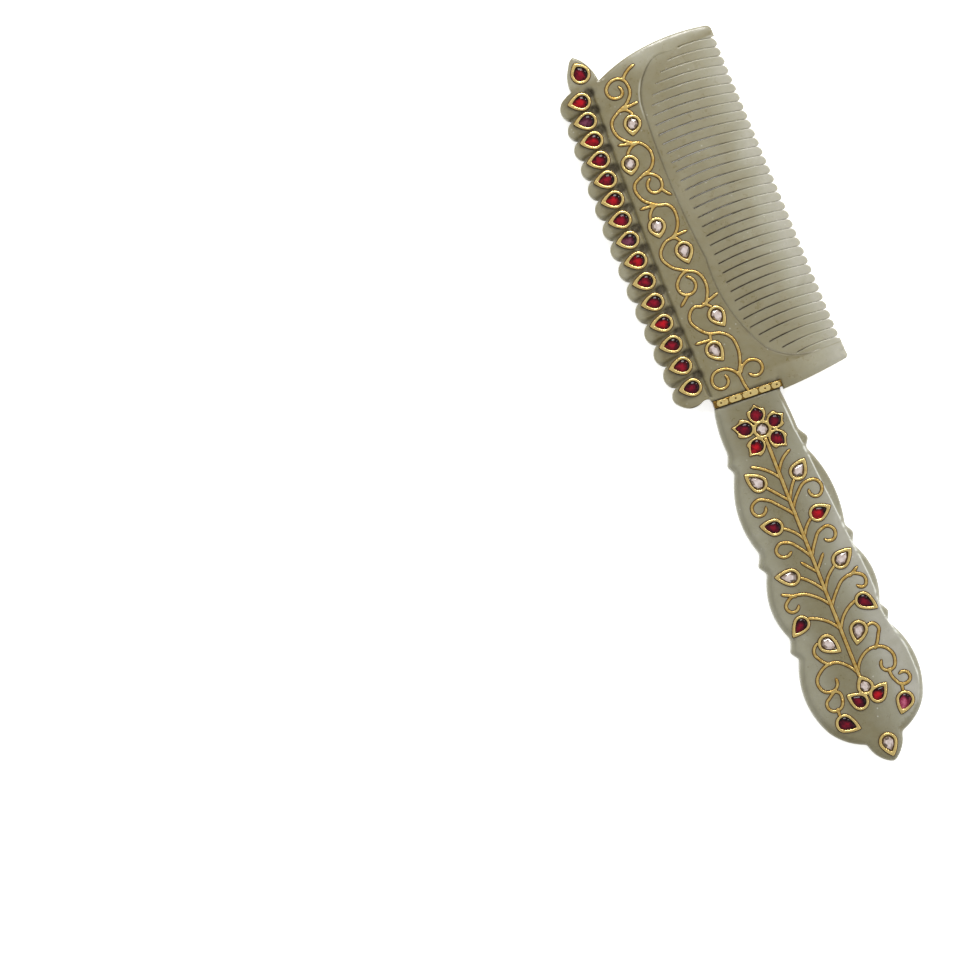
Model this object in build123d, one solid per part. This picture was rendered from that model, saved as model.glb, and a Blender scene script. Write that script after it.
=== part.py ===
from build123d import *

import os
from math import acos, cos, hypot, radians, sin, sqrt

# A carved jade hair comb: a toothed blade and a handle, joined at a gold-bound neck, inlaid with gold
# wire and set with stones. It lies on its back: decorated face up (+Z), head towards +Y, teeth
# towards +X. Millimetres. Outlines are drawn about the middle of the neck joint, and every
# piece is then moved so that the origin is under the middle of the whole comb.
JADE_THICKNESS = 6.0
LEFT_EXTREME = -22.8
RIGHT_EXTREME = 32.6
TIP_OF_BUD = 113.2
TIP_OF_HANDLE = -118.7
TO_ORIGIN = Pos(
    -(LEFT_EXTREME + RIGHT_EXTREME) / 2,
    -(TIP_OF_BUD + TIP_OF_HANDLE) / 2,
    0,
)

# Neck joint and the gold band over it.
NECK_TILT = -2.9
NECK_LEFT = -10.6
NECK_RIGHT = 10.8
NECK_CORE_INSET = 0.6
BAND_HEIGHT = 2.1
BAND_PROUD = 0.25
PLATE_THICKNESS = 0.4
PLATE_CLIP = 0.55
PLATE_MARGIN = 0.12
EYE_RADIUS = 0.3
PIN_DIAMETER = 2.6
PIN_LENGTH = 26.0

# Teeth.
SLIT_COUNT = 34
SLIT_FIRST_Y = 6.3
SLIT_PITCH = 2.943
SLIT_WIDTH = 0.3
SLIT_MOUTH = 1.3
SLIT_MOUTH_LENGTH = 1.9
SLIT_BOW = 1.0
SLIT_DROOP = 0.11
TEETH_END_X = 30.9
PLATE_RECESS = 0.5
TIP_THICKNESS = 1.4

# Handle: its front edge is eased by steps, this far in and this far down in all.
HANDLE_BEVEL = 1.5
HANDLE_BEVEL_STEPS = 3

# Spine petals.
PETAL_COUNT = 15
PETAL_FIRST_Y = 8.1
PETAL_PITCH = 7.15
PETAL_CROWDING = 0.042
PETAL_RADIUS = 2.7
PETAL_REACH = 4.35
LEAF_SHOULDER = 16
GROOVE_WIDTH = 0.7
GROOVE_DEPTH = 0.8
PIT_RADIUS = 0.9
PIT_DEPTH = 1.6
PIT_DROP = 0.9

# Gold inlay and settings.
STEM_WIDTH = 0.98
WIRE_WIDTH = 0.78
WIRE_DEPTH = 0.4
WIRE_PROUD = 0.45
WIRE_POINT = 0.9
RIM_WIDTH = 0.8
FLOWER_RIM_WIDTH = 0.65
RIM_AT_TIP = 1.75
RIM_PROUD = 0.7
SETTING_DEPTH = 1.1
LAC_THICKNESS = 0.7
FOIL_THICKNESS = 0.1
RUBY_PROUD = 0.9
DIAMOND_PROUD = 0.6
RUBY_CHAMFER = 0.45
DIAMOND_CHAMFER = 0.3

TOP = JADE_THICKNESS
SETTING_FLOOR = TOP - SETTING_DEPTH


# ---- plane geometry ---------------------------------------------------------------------------
def chain(start, *steps):
    """A closed face from steps: a point is a straight run to it, a pair is an arc through and to."""
    edges = []
    at = start
    for step in steps:
        if isinstance(step[0], tuple):
            through, to = step
            edges.append(ThreePointArc(at, through, to))
        else:
            to = step
            edges.append(Line(at, to))
        at = to
    if hypot(at[0] - start[0], at[1] - start[1]) > 1e-6:
        edges.append(Line(at, start))
    return Face(Wire(edges))


def unit(x, y):
    length = hypot(x, y)
    return (x / length, y / length)


def tangents(points):
    """The direction of a smooth path at each of its points: that of the circle through three."""
    inner = []
    for before, here, after in zip(points, points[1:], points[2:]):
        back = (here[0] - before[0], here[1] - before[1])
        ahead = (after[0] - here[0], after[1] - here[1])
        near, far = hypot(*back), hypot(*ahead)
        inner.append(
            unit(back[0] / near * far + ahead[0] / far * near, back[1] / near * far + ahead[1] / far * near)
        )
    if not inner:
        straight = unit(points[1][0] - points[0][0], points[1][1] - points[0][1])
        return [straight, straight]
    first = reflect(points[0], points[1], inner[0])
    last = reflect(points[-2], points[-1], inner[-1])
    return [first] + inner + [last]


def reflect(a, b, direction):
    """The direction at one end of an arc from the direction at its other end."""
    chord = unit(b[0] - a[0], b[1] - a[1])
    along = direction[0] * chord[0] + direction[1] * chord[1]
    return (2 * along * chord[0] - direction[0], 2 * along * chord[1] - direction[1])


def biarc_joint(a, ta, b, tb):
    """The point where two arcs meet smoothly between two points with given directions."""
    v = (b[0] - a[0], b[1] - a[1])
    vv = v[0] ** 2 + v[1] ** 2
    vt = v[0] * (ta[0] + tb[0]) + v[1] * (ta[1] + tb[1])
    spread = 2 * (1 - ta[0] * tb[0] - ta[1] * tb[1])
    if spread < 1e-6:
        reach = vv / (2 * vt)
    else:
        reach = (-vt + sqrt(vt * vt + spread * vv)) / spread
    return (
        (a[0] + b[0] + reach * (ta[0] - tb[0])) / 2,
        (a[1] + b[1] + reach * (ta[1] - tb[1])) / 2,
    )


def arcs_through(points):
    """A smooth run of arcs through the points: (start, direction, end, end direction) for each."""
    ways = tangents(points)
    arcs = []
    for a, ta, b, tb in zip(points, ways, points[1:], ways[1:]):
        middle = biarc_joint(a, ta, b, tb)
        turned = reflect(a, middle, ta)
        arcs.append((a, ta, middle, turned))
        arcs.append((middle, turned, b, tb))
    return arcs


def offset_edge(arc, offset):
    """One arc of a path moved sideways to its left by offset."""
    a, ta, b, tb = arc
    cx, cy = unit(b[0] - a[0], b[1] - a[1])
    half = hypot(b[0] - a[0], b[1] - a[1]) / 2
    turn = ta[1] * cx - ta[0] * cy
    bulge = half * turn / (1 + ta[0] * cx + ta[1] * cy)
    mid = ((a[0] + b[0]) / 2 - cy * (bulge + offset), (a[1] + b[1]) / 2 + cx * (bulge + offset))
    start = (a[0] - ta[1] * offset, a[1] + ta[0] * offset)
    end = (b[0] - tb[1] * offset, b[1] + tb[0] * offset)
    if abs(bulge) < half * 1e-3:
        return Line(start, end)
    return ThreePointArc(start, mid, end)


def wire_strip(points, width, point=0.0):
    """The plan of a strip laid along a smooth path: round at its start, round or pointed at its end."""
    arcs = arcs_through(points)
    half = width / 2
    left = [offset_edge(arc, half) for arc in arcs]
    right = [offset_edge(arc, -half) for arc in arcs]
    end, end_way = arcs[-1][2], arcs[-1][3]
    start, start_way = arcs[0][0], arcs[0][1]
    reach = point or half
    tip = (end[0] + end_way[0] * reach, end[1] + end_way[1] * reach)
    if point:
        cap_end = [Line(left[-1] @ 1, tip), Line(tip, right[-1] @ 1)]
    else:
        cap_end = [ThreePointArc(left[-1] @ 1, tip, right[-1] @ 1)]
    cap_start = ThreePointArc(
        right[0] @ 0,
        (start[0] - start_way[0] * half, start[1] - start_way[1] * half),
        left[0] @ 0,
    )
    return Face(Wire(left + cap_end + right + [cap_start]))


def teardrop(centre, radius, tip):
    """A leaf outline: a round end about centre, drawn out to a point at tip by two swelling arcs."""
    cx, cy = centre
    ax, ay = unit(tip[0] - cx, tip[1] - cy)
    reach = hypot(tip[0] - cx, tip[1] - cy)
    opening = acos(min(0.95, radius / reach)) + radians(LEAF_SHOULDER)
    corners = []
    swells = []
    for side in (1, -1):
        ux = ax * cos(opening) - side * ay * sin(opening)
        uy = ay * cos(opening) + side * ax * sin(opening)
        corner = (cx + radius * ux, cy + radius * uy)
        way = (side * uy, -side * ux)
        to_tip = (tip[0] - corner[0], tip[1] - corner[1])
        chord = unit(*to_tip)
        half = hypot(*to_tip) / 2
        turn = way[1] * chord[0] - way[0] * chord[1]
        bulge = half * turn / (1 + way[0] * chord[0] + way[1] * chord[1])
        corners.append(corner)
        swells.append(
            (corner[0] + to_tip[0] / 2 - chord[1] * bulge, corner[1] + to_tip[1] / 2 + chord[0] * bulge)
        )
    heel = (cx - ax * radius, cy - ay * radius)
    return chain(tip, (swells[0], corners[0]), (heel, corners[1]), (swells[1], tip))


def together(faces):
    sketch = Sketch()
    for face in faces:
        sketch += face
    return sketch


def slab(sketch, low, high):
    return extrude(Pos(0, 0, low) * sketch, high - low, dir=(0, 0, 1))


def save(name, shape, colour):
    solids = [TO_ORIGIN * solid for solid in shape.solids()]
    piece = solids[0] if len(solids) == 1 else Compound(children=solids)
    piece.label = name
    piece.color = Color(colour)
    export_step(piece, f"parts/{name}.step")


# ---- where the stones sit: (round centre, radius of the round end, tip) -----------------------
def petal_y(index):
    """Height of a petal: the row is drawn a little closer together towards the head."""
    return PETAL_FIRST_Y + PETAL_PITCH * index - PETAL_CROWDING * index**2


def spine_bow(y):
    """How far the row of petals bows out towards -X, most in the middle of the spine."""
    return -15.9 + 1.5 * ((y - 54) / 46) ** 2


def spine_settings():
    places = []
    for index in range(PETAL_COUNT):
        y = petal_y(index)
        x = spine_bow(y)
        places.append(((x, y - 0.2), PETAL_RADIUS, (x - PETAL_REACH, y + 0.35)))
    return places


BUD_SETTING = ((-11.75, 107.6), 2.9, (-12.4, 111.3))

VINE_LEAVES = [
    ((-2.6, 88.2), 2.65, (-3.8, 84.7)),
    ((-7.7, 77.2), 2.65, (-8.5, 73.8)),
    ((-7.0, 56.8), 2.7, (-7.4, 53.2)),
    ((-2.0, 47.2), 2.75, (-2.1, 42.9)),
    ((0.05, 25.7), 2.65, (1.2, 21.5)),
    ((-4.45, 16.1), 2.7, (-2.9, 12.0)),
]

FLOWER_CENTRE = (0.35, -11.4)
FLOWER_RING = 2.75
FLOWER_STONE = 1.95
FLOWER_PETALS = [
    ((0.3, -6.8), 2.6, (0.65, -3.5)),
    ((-4.3, -9.6), 2.6, (-8.2, -7.8)),
    ((-2.85, -15.5), 2.6, (-6.2, -17.7)),
    ((3.6, -15.3), 2.6, (5.55, -18.7)),
    ((4.75, -10.25), 2.5, (8.05, -9.15)),
]

LEFT_LEAVES = {
    "diamond_handle_left_1": ((-6.6, -26.3), 2.65, (-9.7, -22.2)),
    "ruby_handle_left_1": ((-6.8, -40.2), 2.6, (-11.0, -38.3)),
    "diamond_handle_left_2": ((-7.6, -56.0), 2.65, (-12.4, -54.2)),
    "ruby_handle_left_2": ((-9.8, -70.1), 2.5, (-13.7, -73.0)),
    "diamond_handle_left_3": ((-4.9, -78.3), 2.75, (-1.8, -82.2)),
    "ruby_handle_left_drop": ((-8.6, -102.6), 2.75, (-4.6, -105.8)),
}
RIGHT_LEAVES = {
    "diamond_handle_right_1": ((5.7, -27.1), 2.65, (9.0, -24.0)),
    "ruby_handle_right_1": ((6.7, -40.8), 2.6, (11.2, -40.1)),
    "diamond_handle_right_2": ((8.0, -56.4), 2.7, (12.3, -54.2)),
    "ruby_handle_right_2": ((9.95, -70.1), 2.55, (13.2, -73.9)),
    "diamond_handle_right_3": ((5.5, -77.8), 2.75, (3.3, -82.0)),
    "ruby_handle_right_drop": ((10.9, -102.5), 2.7, (8.2, -106.1)),
}
ROOT_LEAVES = {
    "diamond_root_flower": ((1.15, -94.6), 2.5, (0.6, -90.8)),
    "ruby_root_left": ((-1.9, -98.2), 2.6, (-5.1, -95.0)),
    "ruby_root_right": ((3.8, -98.0), 2.55, (7.5, -95.6)),
    "diamond_end_finial": ((1.5, -112.4), 2.75, (1.55, -117.0)),
}


def shrink(setting, rim=RIM_WIDTH):
    """The opening for the stone inside a gold rim."""
    centre, radius, tip = setting
    reach = hypot(tip[0] - centre[0], tip[1] - centre[1])
    keep = max(reach - rim * RIM_AT_TIP, (radius - rim) * 1.2) / reach
    inner_tip = (
        centre[0] + (tip[0] - centre[0]) * keep,
        centre[1] + (tip[1] - centre[1]) * keep,
    )
    return (centre, radius - rim, inner_tip)


# ---- gold wire paths, each through its own points ----------------------------------------------
VINE = [
    [
        (0.7, 1.2), (0.1, 4.5), (0.1, 6.7), (1.4, 9.6), (2.4, 14.0), (1.6, 18.0), (-1.0, 20.2),
        (-4.0, 21.1), (-6.7, 23.7), (-8.0, 27.0), (-6.2, 29.8), (-2.0, 29.9), (-0.2, 32.5),
        (0.5, 35.5), (-0.6, 39.3), (-4.4, 41.6), (-7.6, 44.1), (-9.1, 48.0), (-6.9, 51.1),
        (-3.0, 52.5), (-0.4, 57.0), (-1.0, 61.0), (-5.2, 63.1), (-8.4, 66.2), (-8.8, 70.5),
        (-5.6, 72.5), (-2.2, 73.8), (-0.5, 78.0), (-2.0, 81.4), (-5.6, 83.3), (-8.3, 86.5),
        (-8.4, 90.4), (-5.2, 93.0), (-2.2, 94.3), (0.3, 98.4), (-0.9, 101.8), (-4.5, 102.1),
        (-6.5, 99.4), (-4.8, 97.0), (-2.3, 97.5), (-2.2, 99.5),
    ],
    [(-0.6, 101.4), (1.2, 103.2), (3.7, 104.4)],
    [(-3.4, 93.2), (0.6, 93.6)],
    [(-4.2, 82.4), (-8.3, 83.4)],
    [(-1.6, 66.9), (-0.8, 65.6), (0.1, 64.6)],
    [(-5.2, 63.0), (-9.1, 63.2)],
    [(-3.6, 52.2), (0.3, 52.4)],
    [(-5.8, 34.2), (-8.4, 32.1)],
    [(-1.6, 30.2), (2.2, 31.4)],
    [(-4.6, 19.2), (-8.4, 19.5)],
    [
        (-5.6, 72.5), (-2.5, 71.8), (-0.8, 69.3), (-1.8, 66.7), (-4.4, 66.7), (-5.2, 69.0),
        (-4.1, 70.6),
    ],
    [
        (-3.3, 41.1), (-6.4, 39.8), (-7.9, 37.3), (-6.9, 34.8), (-4.2, 34.3), (-2.4, 36.6),
        (-3.7, 39.2),
    ],
    [
        (0.1, 5.2), (-1.2, 8.0), (-4.3, 9.7), (-7.7, 8.9), (-8.3, 5.7), (-5.9, 4.2), (-4.0, 5.4),
        (-3.9, 7.2),
    ],
    [(0.7, 7.0), (2.4, 8.9), (5.0, 9.3), (7.2, 7.4), (6.4, 4.8), (4.7, 4.3), (3.1, 5.2)],
    [(-4.6, 93.0), (-2.2, 92.0), (-1.6, 90.6)],
    [(-3.6, 82.2), (-6.2, 81.3), (-7.5, 79.6)],
    [(-4.6, 62.8), (-7.0, 61.6), (-8.0, 59.2)],
    [(-4.6, 51.9), (-2.7, 51.2), (-2.0, 49.7)],
    [(-2.4, 30.1), (-1.2, 29.2), (-0.4, 28.1)],
    [(-3.9, 21.0), (-4.5, 18.6)],
]

STEM = [[(0.3, -14.2), (0.35, -50.0), (0.6, -90.8)]]

LEFT_BRANCHES = [
    [(0.3, -27.3), (-3.0, -23.3), (-6.4, -21.1)],
    [(0.3, -34.4), (-2.5, -31.0), (-4.9, -28.2)],
    [
        (0.3, -38.9), (-3.0, -34.8), (-6.0, -31.8), (-9.0, -30.8), (-11.3, -32.7), (-9.6, -35.5),
        (-7.3, -34.1),
    ],
    [(0.3, -47.1), (-1.8, -43.8), (-4.4, -41.6)],
    [
        (0.3, -52.6), (-2.0, -48.8), (-4.8, -45.9), (-7.7, -45.5), (-9.1, -47.4), (-7.4, -49.6),
        (-5.3, -49.2),
    ],
    [(0.3, -57.3), (-2.9, -53.4)],
    [(0.3, -63.4), (-2.0, -60.0), (-5.0, -57.2)],
    [
        (0.4, -68.0), (-3.0, -64.0), (-6.4, -61.9), (-10.6, -61.9), (-12.4, -64.3), (-10.8, -66.0),
        (-8.9, -65.1),
    ],
    [(-8.6, -61.7), (-11.8, -60.1)],
    [(0.4, -75.6), (-2.5, -72.0), (-7.4, -69.4)],
    [(-6.3, -84.5), (-8.6, -82.2), (-9.5, -79.4), (-7.6, -77.4)],
    [
        (0.6, -90.2), (-1.4, -86.9), (-4.8, -84.5), (-9.2, -85.2), (-11.9, -89.0), (-9.6, -92.2),
        (-6.9, -91.6), (-6.2, -89.7),
    ],
    [
        (-8.6, -92.6), (-7.0, -93.2), (-6.6, -95.6), (-8.4, -98.1), (-11.0, -97.6), (-11.5, -95.2),
        (-9.9, -93.8), (-8.4, -92.8),
    ],
    [(-9.1, -98.0), (-9.2, -100.4)],
]

RIGHT_BRANCHES = [
    [(0.3, -25.6), (2.2, -22.5), (5.3, -20.3)],
    [(0.3, -34.6), (1.8, -31.5), (3.9, -28.8)],
    [
        (0.3, -37.3), (2.8, -33.6), (7.0, -30.7), (10.0, -31.4), (10.7, -34.2), (8.3, -36.0),
        (6.7, -33.9),
    ],
    [(0.3, -46.6), (2.0, -43.6), (4.4, -41.5)],
    [
        (0.3, -52.8), (2.5, -49.0), (5.6, -45.8), (8.4, -45.6), (9.6, -48.0), (7.9, -49.9),
        (6.2, -49.3),
    ],
    [(0.3, -57.0), (3.4, -53.2)],
    [(0.4, -63.6), (2.5, -60.0), (5.7, -57.4)],
    [
        (0.4, -68.8), (3.2, -65.0), (7.0, -61.9), (10.9, -61.8), (13.0, -64.4), (11.7, -66.3),
        (10.2, -65.7),
    ],
    [(9.0, -61.8), (11.4, -60.4)],
    [(0.5, -76.3), (3.2, -72.0), (7.8, -69.4)],
    [(8.2, -84.8), (10.2, -81.8), (11.2, -79.0), (9.9, -77.5), (8.2, -77.8)],
    [
        (0.6, -90.6), (3.0, -86.2), (7.2, -84.4), (11.2, -85.9), (12.5, -89.5), (10.4, -92.5),
        (8.1, -91.5), (8.2, -89.4),
    ],
    [(9.7, -92.2), (10.1, -95.6), (12.3, -98.0), (14.8, -96.4), (14.0, -94.6), (12.5, -94.4)],
    [(11.6, -97.6), (11.2, -100.2)],
]


def strips(paths, width=WIRE_WIDTH, point=WIRE_POINT):
    return together([wire_strip(path, width, point) for path in paths])


# ---- jade ---------------------------------------------------------------------------------------
def spine_outline():
    """The scalloped edge of the spine, bottom to top: one lobe for each petal."""
    steps = []
    for index in range(PETAL_COUNT):
        y = petal_y(index)
        bow = spine_bow(y)
        lobe = (bow - 6.85, y - 2.3)
        notch = (spine_bow(y + 3.0) - 4.6, y + 1.3)
        if index == PETAL_COUNT - 1:
            notch = (-19.4, 102.3)
        steps.append((lobe, notch))
    return steps


def blade_outline():
    return chain(
        (NECK_LEFT, 0.55),
        (-11.0, 2.6),
        ((-12.6, 2.9), (-13.6, 2.5)),
        ((-16.2, 2.0), (-19.4, 3.4)),
        (-20.2, 4.2),
        *spine_outline(),
        ((-17.9, 103.0), (-16.3, 103.6)),
        ((-15.9, 108.0), (-14.4, 111.0)),
        ((-13.6, 112.3), (-12.3, TIP_OF_BUD)),
        ((-9.9, 111.0), (-8.9, 109.3)),
        ((-7.8, 106.5), (-7.4, 103.9)),
        ((1.0, 107.0), (10.0, 108.6)),
        ((19.5, 108.9), (28.4, 107.9)),
        ((29.5, 107.3), (29.9, 106.0)),
        ((31.4, 50.0), (32.2, 8.0)),
        (RIGHT_EXTREME, 0.7),
        ((32.4, -0.2), (31.8, -0.6)),
        ((21.0, -1.9), (10.6, -2.5)),
        (10.1, -2.3),
        (10.1, -1.05),
        (10.0, -0.5),
    )


def slit_root_x(y):
    """How far in towards the spine a saw cut reaches when its root is at height y."""
    if y < 24.5:
        return 7.0 + 0.035 * (24.5 - y) ** 2
    if y < 60:
        return 5.5 + 1.5 * (60 - y) / 35.5
    if y < 80:
        return 5.5 - 0.09 * (y - 60)
    return 3.7 + 0.00097 * (y - 80) ** 3


def slit(index):
    """One saw cut between two teeth, gently bowed, widening to a rounded mouth at the tips."""
    tip_x = TEETH_END_X
    tip_y = SLIT_FIRST_Y + SLIT_PITCH * index
    droop = SLIT_DROOP * index / (SLIT_COUNT - 1)
    root_x = slit_root_x(tip_y)
    for _ in range(4):
        root_y = tip_y + droop * (tip_x - root_x)
        root_x = slit_root_x(root_y)
    bow = SLIT_BOW * (tip_x - root_x) / 25
    mid_x = (root_x + tip_x) / 2
    mid_y = (root_y + tip_y) / 2 + bow
    half = SLIT_WIDTH / 2
    mouth = SLIT_MOUTH / 2
    throat_x = tip_x - SLIT_MOUTH_LENGTH
    return chain(
        (root_x, root_y - half),
        ((mid_x, mid_y - half), (throat_x, tip_y + 0.25 - half)),
        (tip_x + 0.6, tip_y - mouth),
        (tip_x + 3.0, tip_y - mouth),
        (tip_x + 3.0, tip_y + mouth),
        (tip_x + 0.6, tip_y + mouth),
        (throat_x, tip_y + 0.25 + half),
        ((mid_x, mid_y + half), (root_x, root_y + half)),
        ((root_x - half, root_y), (root_x, root_y - half)),
    )


def tooth_plate():
    """The area right of the arched step, where the blade is thinner on both faces."""
    return chain(
        (40.0, 112.0),
        (40.0, 4.4),
        (24.4, 4.4),
        ((16.5, 6.2), (10.1, 11.1)),
        ((5.2, 22.0), (3.1, 42.4)),
        ((1.3, 70.0), (1.9, 90.5)),
        ((3.4, 97.0), (8.3, 103.2)),
        ((10.6, 104.6), (14.0, 104.9)),
        (29.0, 104.9),
        (40.0, 104.9 + 7.1),
    )


def tooth_taper():
    """Two wedges that thin the teeth and the guards evenly towards their tips, seen along Y."""
    plate_low = PLATE_RECESS
    middle = JADE_THICKNESS / 2
    lower = [(14.0, -1.0), (14.0, plate_low), (34.0, middle - TIP_THICKNESS / 2), (34.0, -1.0)]
    wedges = []
    for flip in (1, -1):
        corners = [(x, middle + flip * (z - middle)) for x, z in lower]
        profile = Plane.XZ * make_face(Polyline(*corners, close=True))
        wedges.append(Pos(0, 120, 0) * extrude(profile, 130, dir=(0, -1, 0)))
    return wedges


def spine_carving():
    """The groove beside the spine, the valleys between petals, and the drilled pits."""
    groove = strips([[(-11.0, 5.5), (-11.75, 54.0), (-10.4, 101.5)]], GROOVE_WIDTH, 0.0)
    pits = []
    for index in range(PETAL_COUNT):
        y = (petal_y(index) + petal_y(index + 1)) / 2
        if index == PETAL_COUNT - 1:
            y = petal_y(index) + 2.3
        pits.append(Pos(spine_bow(y) + 2.8, y - PIT_DROP) * Circle(PIT_RADIUS))
    valleys = []
    for index in range(PETAL_COUNT - 1):
        y = (petal_y(index) + petal_y(index + 1)) / 2
        x = spine_bow(y)
        valleys.append(wire_strip([(x + 2.4, y), (x - 4.9, y - 1.1)], 0.5))
    return [
        slab(groove, TOP - GROOVE_DEPTH, TOP + 1),
        slab(together(valleys), TOP - GROOVE_DEPTH, TOP + 1),
        slab(together(pits), TOP - PIT_DEPTH, TOP + 1),
    ]


def neck_frame(shape):
    return Rot(0, 0, NECK_TILT) * shape


def neck_box(x0, x1, y0, y1, z0, z1):
    box = Pos((x0 + x1) / 2, (y0 + y1) / 2, (z0 + z1) / 2) * Box(x1 - x0, y1 - y0, z1 - z0)
    return neck_frame(box)


def band_groove():
    """What is cut from the jade round the neck so that the gold band lies in it."""
    half = BAND_HEIGHT / 2
    outer = neck_box(NECK_LEFT - 2, NECK_RIGHT, -half, half, -1, TOP + 1)
    core = neck_box(
        NECK_LEFT + NECK_CORE_INSET,
        NECK_RIGHT - NECK_CORE_INSET,
        -half,
        half,
        NECK_CORE_INSET,
        TOP - NECK_CORE_INSET,
    )
    return outer - core


def tang_pin():
    pin = Pos(0, 0, JADE_THICKNESS / 2) * (Rot(90, 0, 0) * Cylinder(PIN_DIAMETER / 2, PIN_LENGTH))
    return neck_frame(pin)


def blade(gold_wire, settings):
    body = slab(blade_outline(), 0, JADE_THICKNESS)
    body -= neck_box(NECK_LEFT - 5, NECK_RIGHT - NECK_CORE_INSET, -8, 0, -1, TOP + 1)
    body -= slab(tooth_plate(), TOP - PLATE_RECESS, TOP + 1)
    body -= slab(tooth_plate(), -1, PLATE_RECESS)
    for wedge in tooth_taper():
        body -= wedge
    for cut in spine_carving():
        body -= cut
    body -= band_groove()
    body -= tang_pin()
    body -= slab(gold_wire, TOP - WIRE_DEPTH, TOP + 1)
    body -= slab(settings, SETTING_FLOOR, TOP + 1)
    slits = together([slit(index) for index in range(SLIT_COUNT)])
    body -= slab(slits, -1, TOP + 1)
    return body


def handle_outline():
    """Three swelling lobes a side, with a pointed bract at each waist, and a bud at the end."""
    return chain(
        (NECK_LEFT, 0.53),
        (-11.3, -2.6),
        ((-12.05, -9.0), (-11.9, -14.6)),
        ((-12.65, -16.7), (-13.6, -18.3)),
        ((-12.9, -19.3), (-12.1, -20.9)),
        ((-15.75, -37.0), (-13.9, -46.0)),
        ((-14.8, -48.2), (-15.9, -49.7)),
        ((-15.0, -50.9), (-13.9, -52.6)),
        ((-16.8, -64.4), (-14.6, -73.2)),
        ((-15.35, -75.7), (-16.3, -77.2)),
        ((-15.4, -78.4), (-14.2, -79.9)),
        ((-17.05, -92.4), (-13.9, -104.0)),
        ((-9.8, -108.4), (-4.6, -111.2)),
        ((-3.3, -114.9), (1.4, TIP_OF_HANDLE)),
        ((5.1, -115.2), (6.7, -111.1)),
        ((12.0, -108.4), (16.1, -104.0)),
        ((18.7, -94.7), (14.6, -78.7)),
        ((15.5, -77.2), (16.15, -75.7)),
        ((15.3, -74.3), (14.3, -72.9)),
        ((16.3, -64.5), (13.2, -53.1)),
        ((14.2, -51.5), (14.9, -50.0)),
        ((14.15, -48.6), (13.2, -47.2)),
        ((14.4, -37.0), (10.7, -21.0)),
        ((11.8, -19.7), (12.6, -18.3)),
        ((11.7, -16.8), (10.6, -15.2)),
        ((10.4, -9.0), (9.7, -2.6)),
        (9.95, -0.5),
    )


def handle(gold_wire, settings):
    body = slab(handle_outline(), 0, JADE_THICKNESS)
    for step in range(1, HANDLE_BEVEL_STEPS + 1):
        rim = handle_outline() - offset(handle_outline(), -HANDLE_BEVEL * step / HANDLE_BEVEL_STEPS)
        rim -= Pos(0, 18.5) * Rectangle(60, 40)
        low = TOP - HANDLE_BEVEL * (HANDLE_BEVEL_STEPS - step + 1) / HANDLE_BEVEL_STEPS
        body -= slab(rim, low, TOP + 1)
    body -= neck_box(NECK_LEFT - 5, NECK_RIGHT + 5, 0, 8, -1, TOP + 1)
    body -= band_groove()
    body -= tang_pin()
    body -= slab(gold_wire, TOP - WIRE_DEPTH, TOP + 1)
    body -= slab(settings, SETTING_FLOOR, TOP + 1)
    return body


# ---- gold ---------------------------------------------------------------------------------------
def collar_band():
    half = BAND_HEIGHT / 2
    outer = neck_box(NECK_LEFT, NECK_RIGHT, -half, half, 0, TOP + BAND_PROUD)
    core = neck_box(
        NECK_LEFT + NECK_CORE_INSET,
        NECK_RIGHT - NECK_CORE_INSET,
        -half,
        half,
        NECK_CORE_INSET,
        TOP - NECK_CORE_INSET,
    )
    return outer - core


def collar_plates():
    """Five plates with clipped corners and a small pierced eye, fixed along the front of the band."""
    half = BAND_HEIGHT / 2 - PLATE_MARGIN
    clip = PLATE_CLIP
    plates = []
    for x0, x1, eye in (
        (-9.6, -6.1, -8.3),
        (-5.75, -1.8, -3.7),
        (-1.45, 3.35, 1.0),
        (3.7, 7.3, 5.6),
        (7.65, 10.4, 9.3),
    ):
        outline = make_face(
            Polyline(
                (x0 + clip, -half), (x1 - clip, -half), (x1, -half + clip), (x1, half - clip),
                (x1 - clip, half), (x0 + clip, half), (x0, half - clip), (x0, -half + clip),
                close=True,
            )
        )
        eyelet = Pos(eye, 0) * Circle(EYE_RADIUS)
        plates.append(outline - eyelet)
    top = TOP + BAND_PROUD
    return neck_frame(slab(together(plates), top, top + PLATE_THICKNESS))


def barbed_petal(centre, radius, tip):
    """A flower petal: round at the heel, with a small barb on each shoulder below a drawn-out point."""
    cx, cy = centre
    ax, ay = unit(tip[0] - cx, tip[1] - cy)
    reach = hypot(tip[0] - cx, tip[1] - cy)

    def at(along, across):
        return (cx + ax * along - ay * across, cy + ay * along + ax * across)

    heel = at(-radius, 0)
    near, far = [
        {
            "brow": at(reach * 0.72, side * radius * 0.30),
            "notch": at(reach * 0.52, side * radius * 0.62),
            "barb": at(reach * 0.46, side * radius * 0.98),
            "flank": at(radius * 0.1, side * radius * 1.04),
            "hip": at(-radius * 0.5, side * radius * 0.82),
        }
        for side in (1, -1)
    ]
    return chain(
        tip,
        (near["brow"], near["notch"]),
        near["barb"],
        (near["flank"], near["hip"]),
        (heel, far["hip"]),
        (far["flank"], far["barb"]),
        far["notch"],
        (far["brow"], tip),
    )


def settings_plan(places):
    return together([teardrop(*place) for place in places])


def openings_plan(places, rim=RIM_WIDTH):
    return together([teardrop(*shrink(place, rim)) for place in places])


def rims(places):
    return slab(settings_plan(places) - openings_plan(places), SETTING_FLOOR, TOP + RIM_PROUD)


def stone(plan, proud, edge):
    low = SETTING_FLOOR + LAC_THICKNESS + FOIL_THICKNESS
    body = slab(plan, low, TOP + proud)
    return chamfer(body.faces().sort_by(Axis.Z)[-1].edges(), edge)


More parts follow.
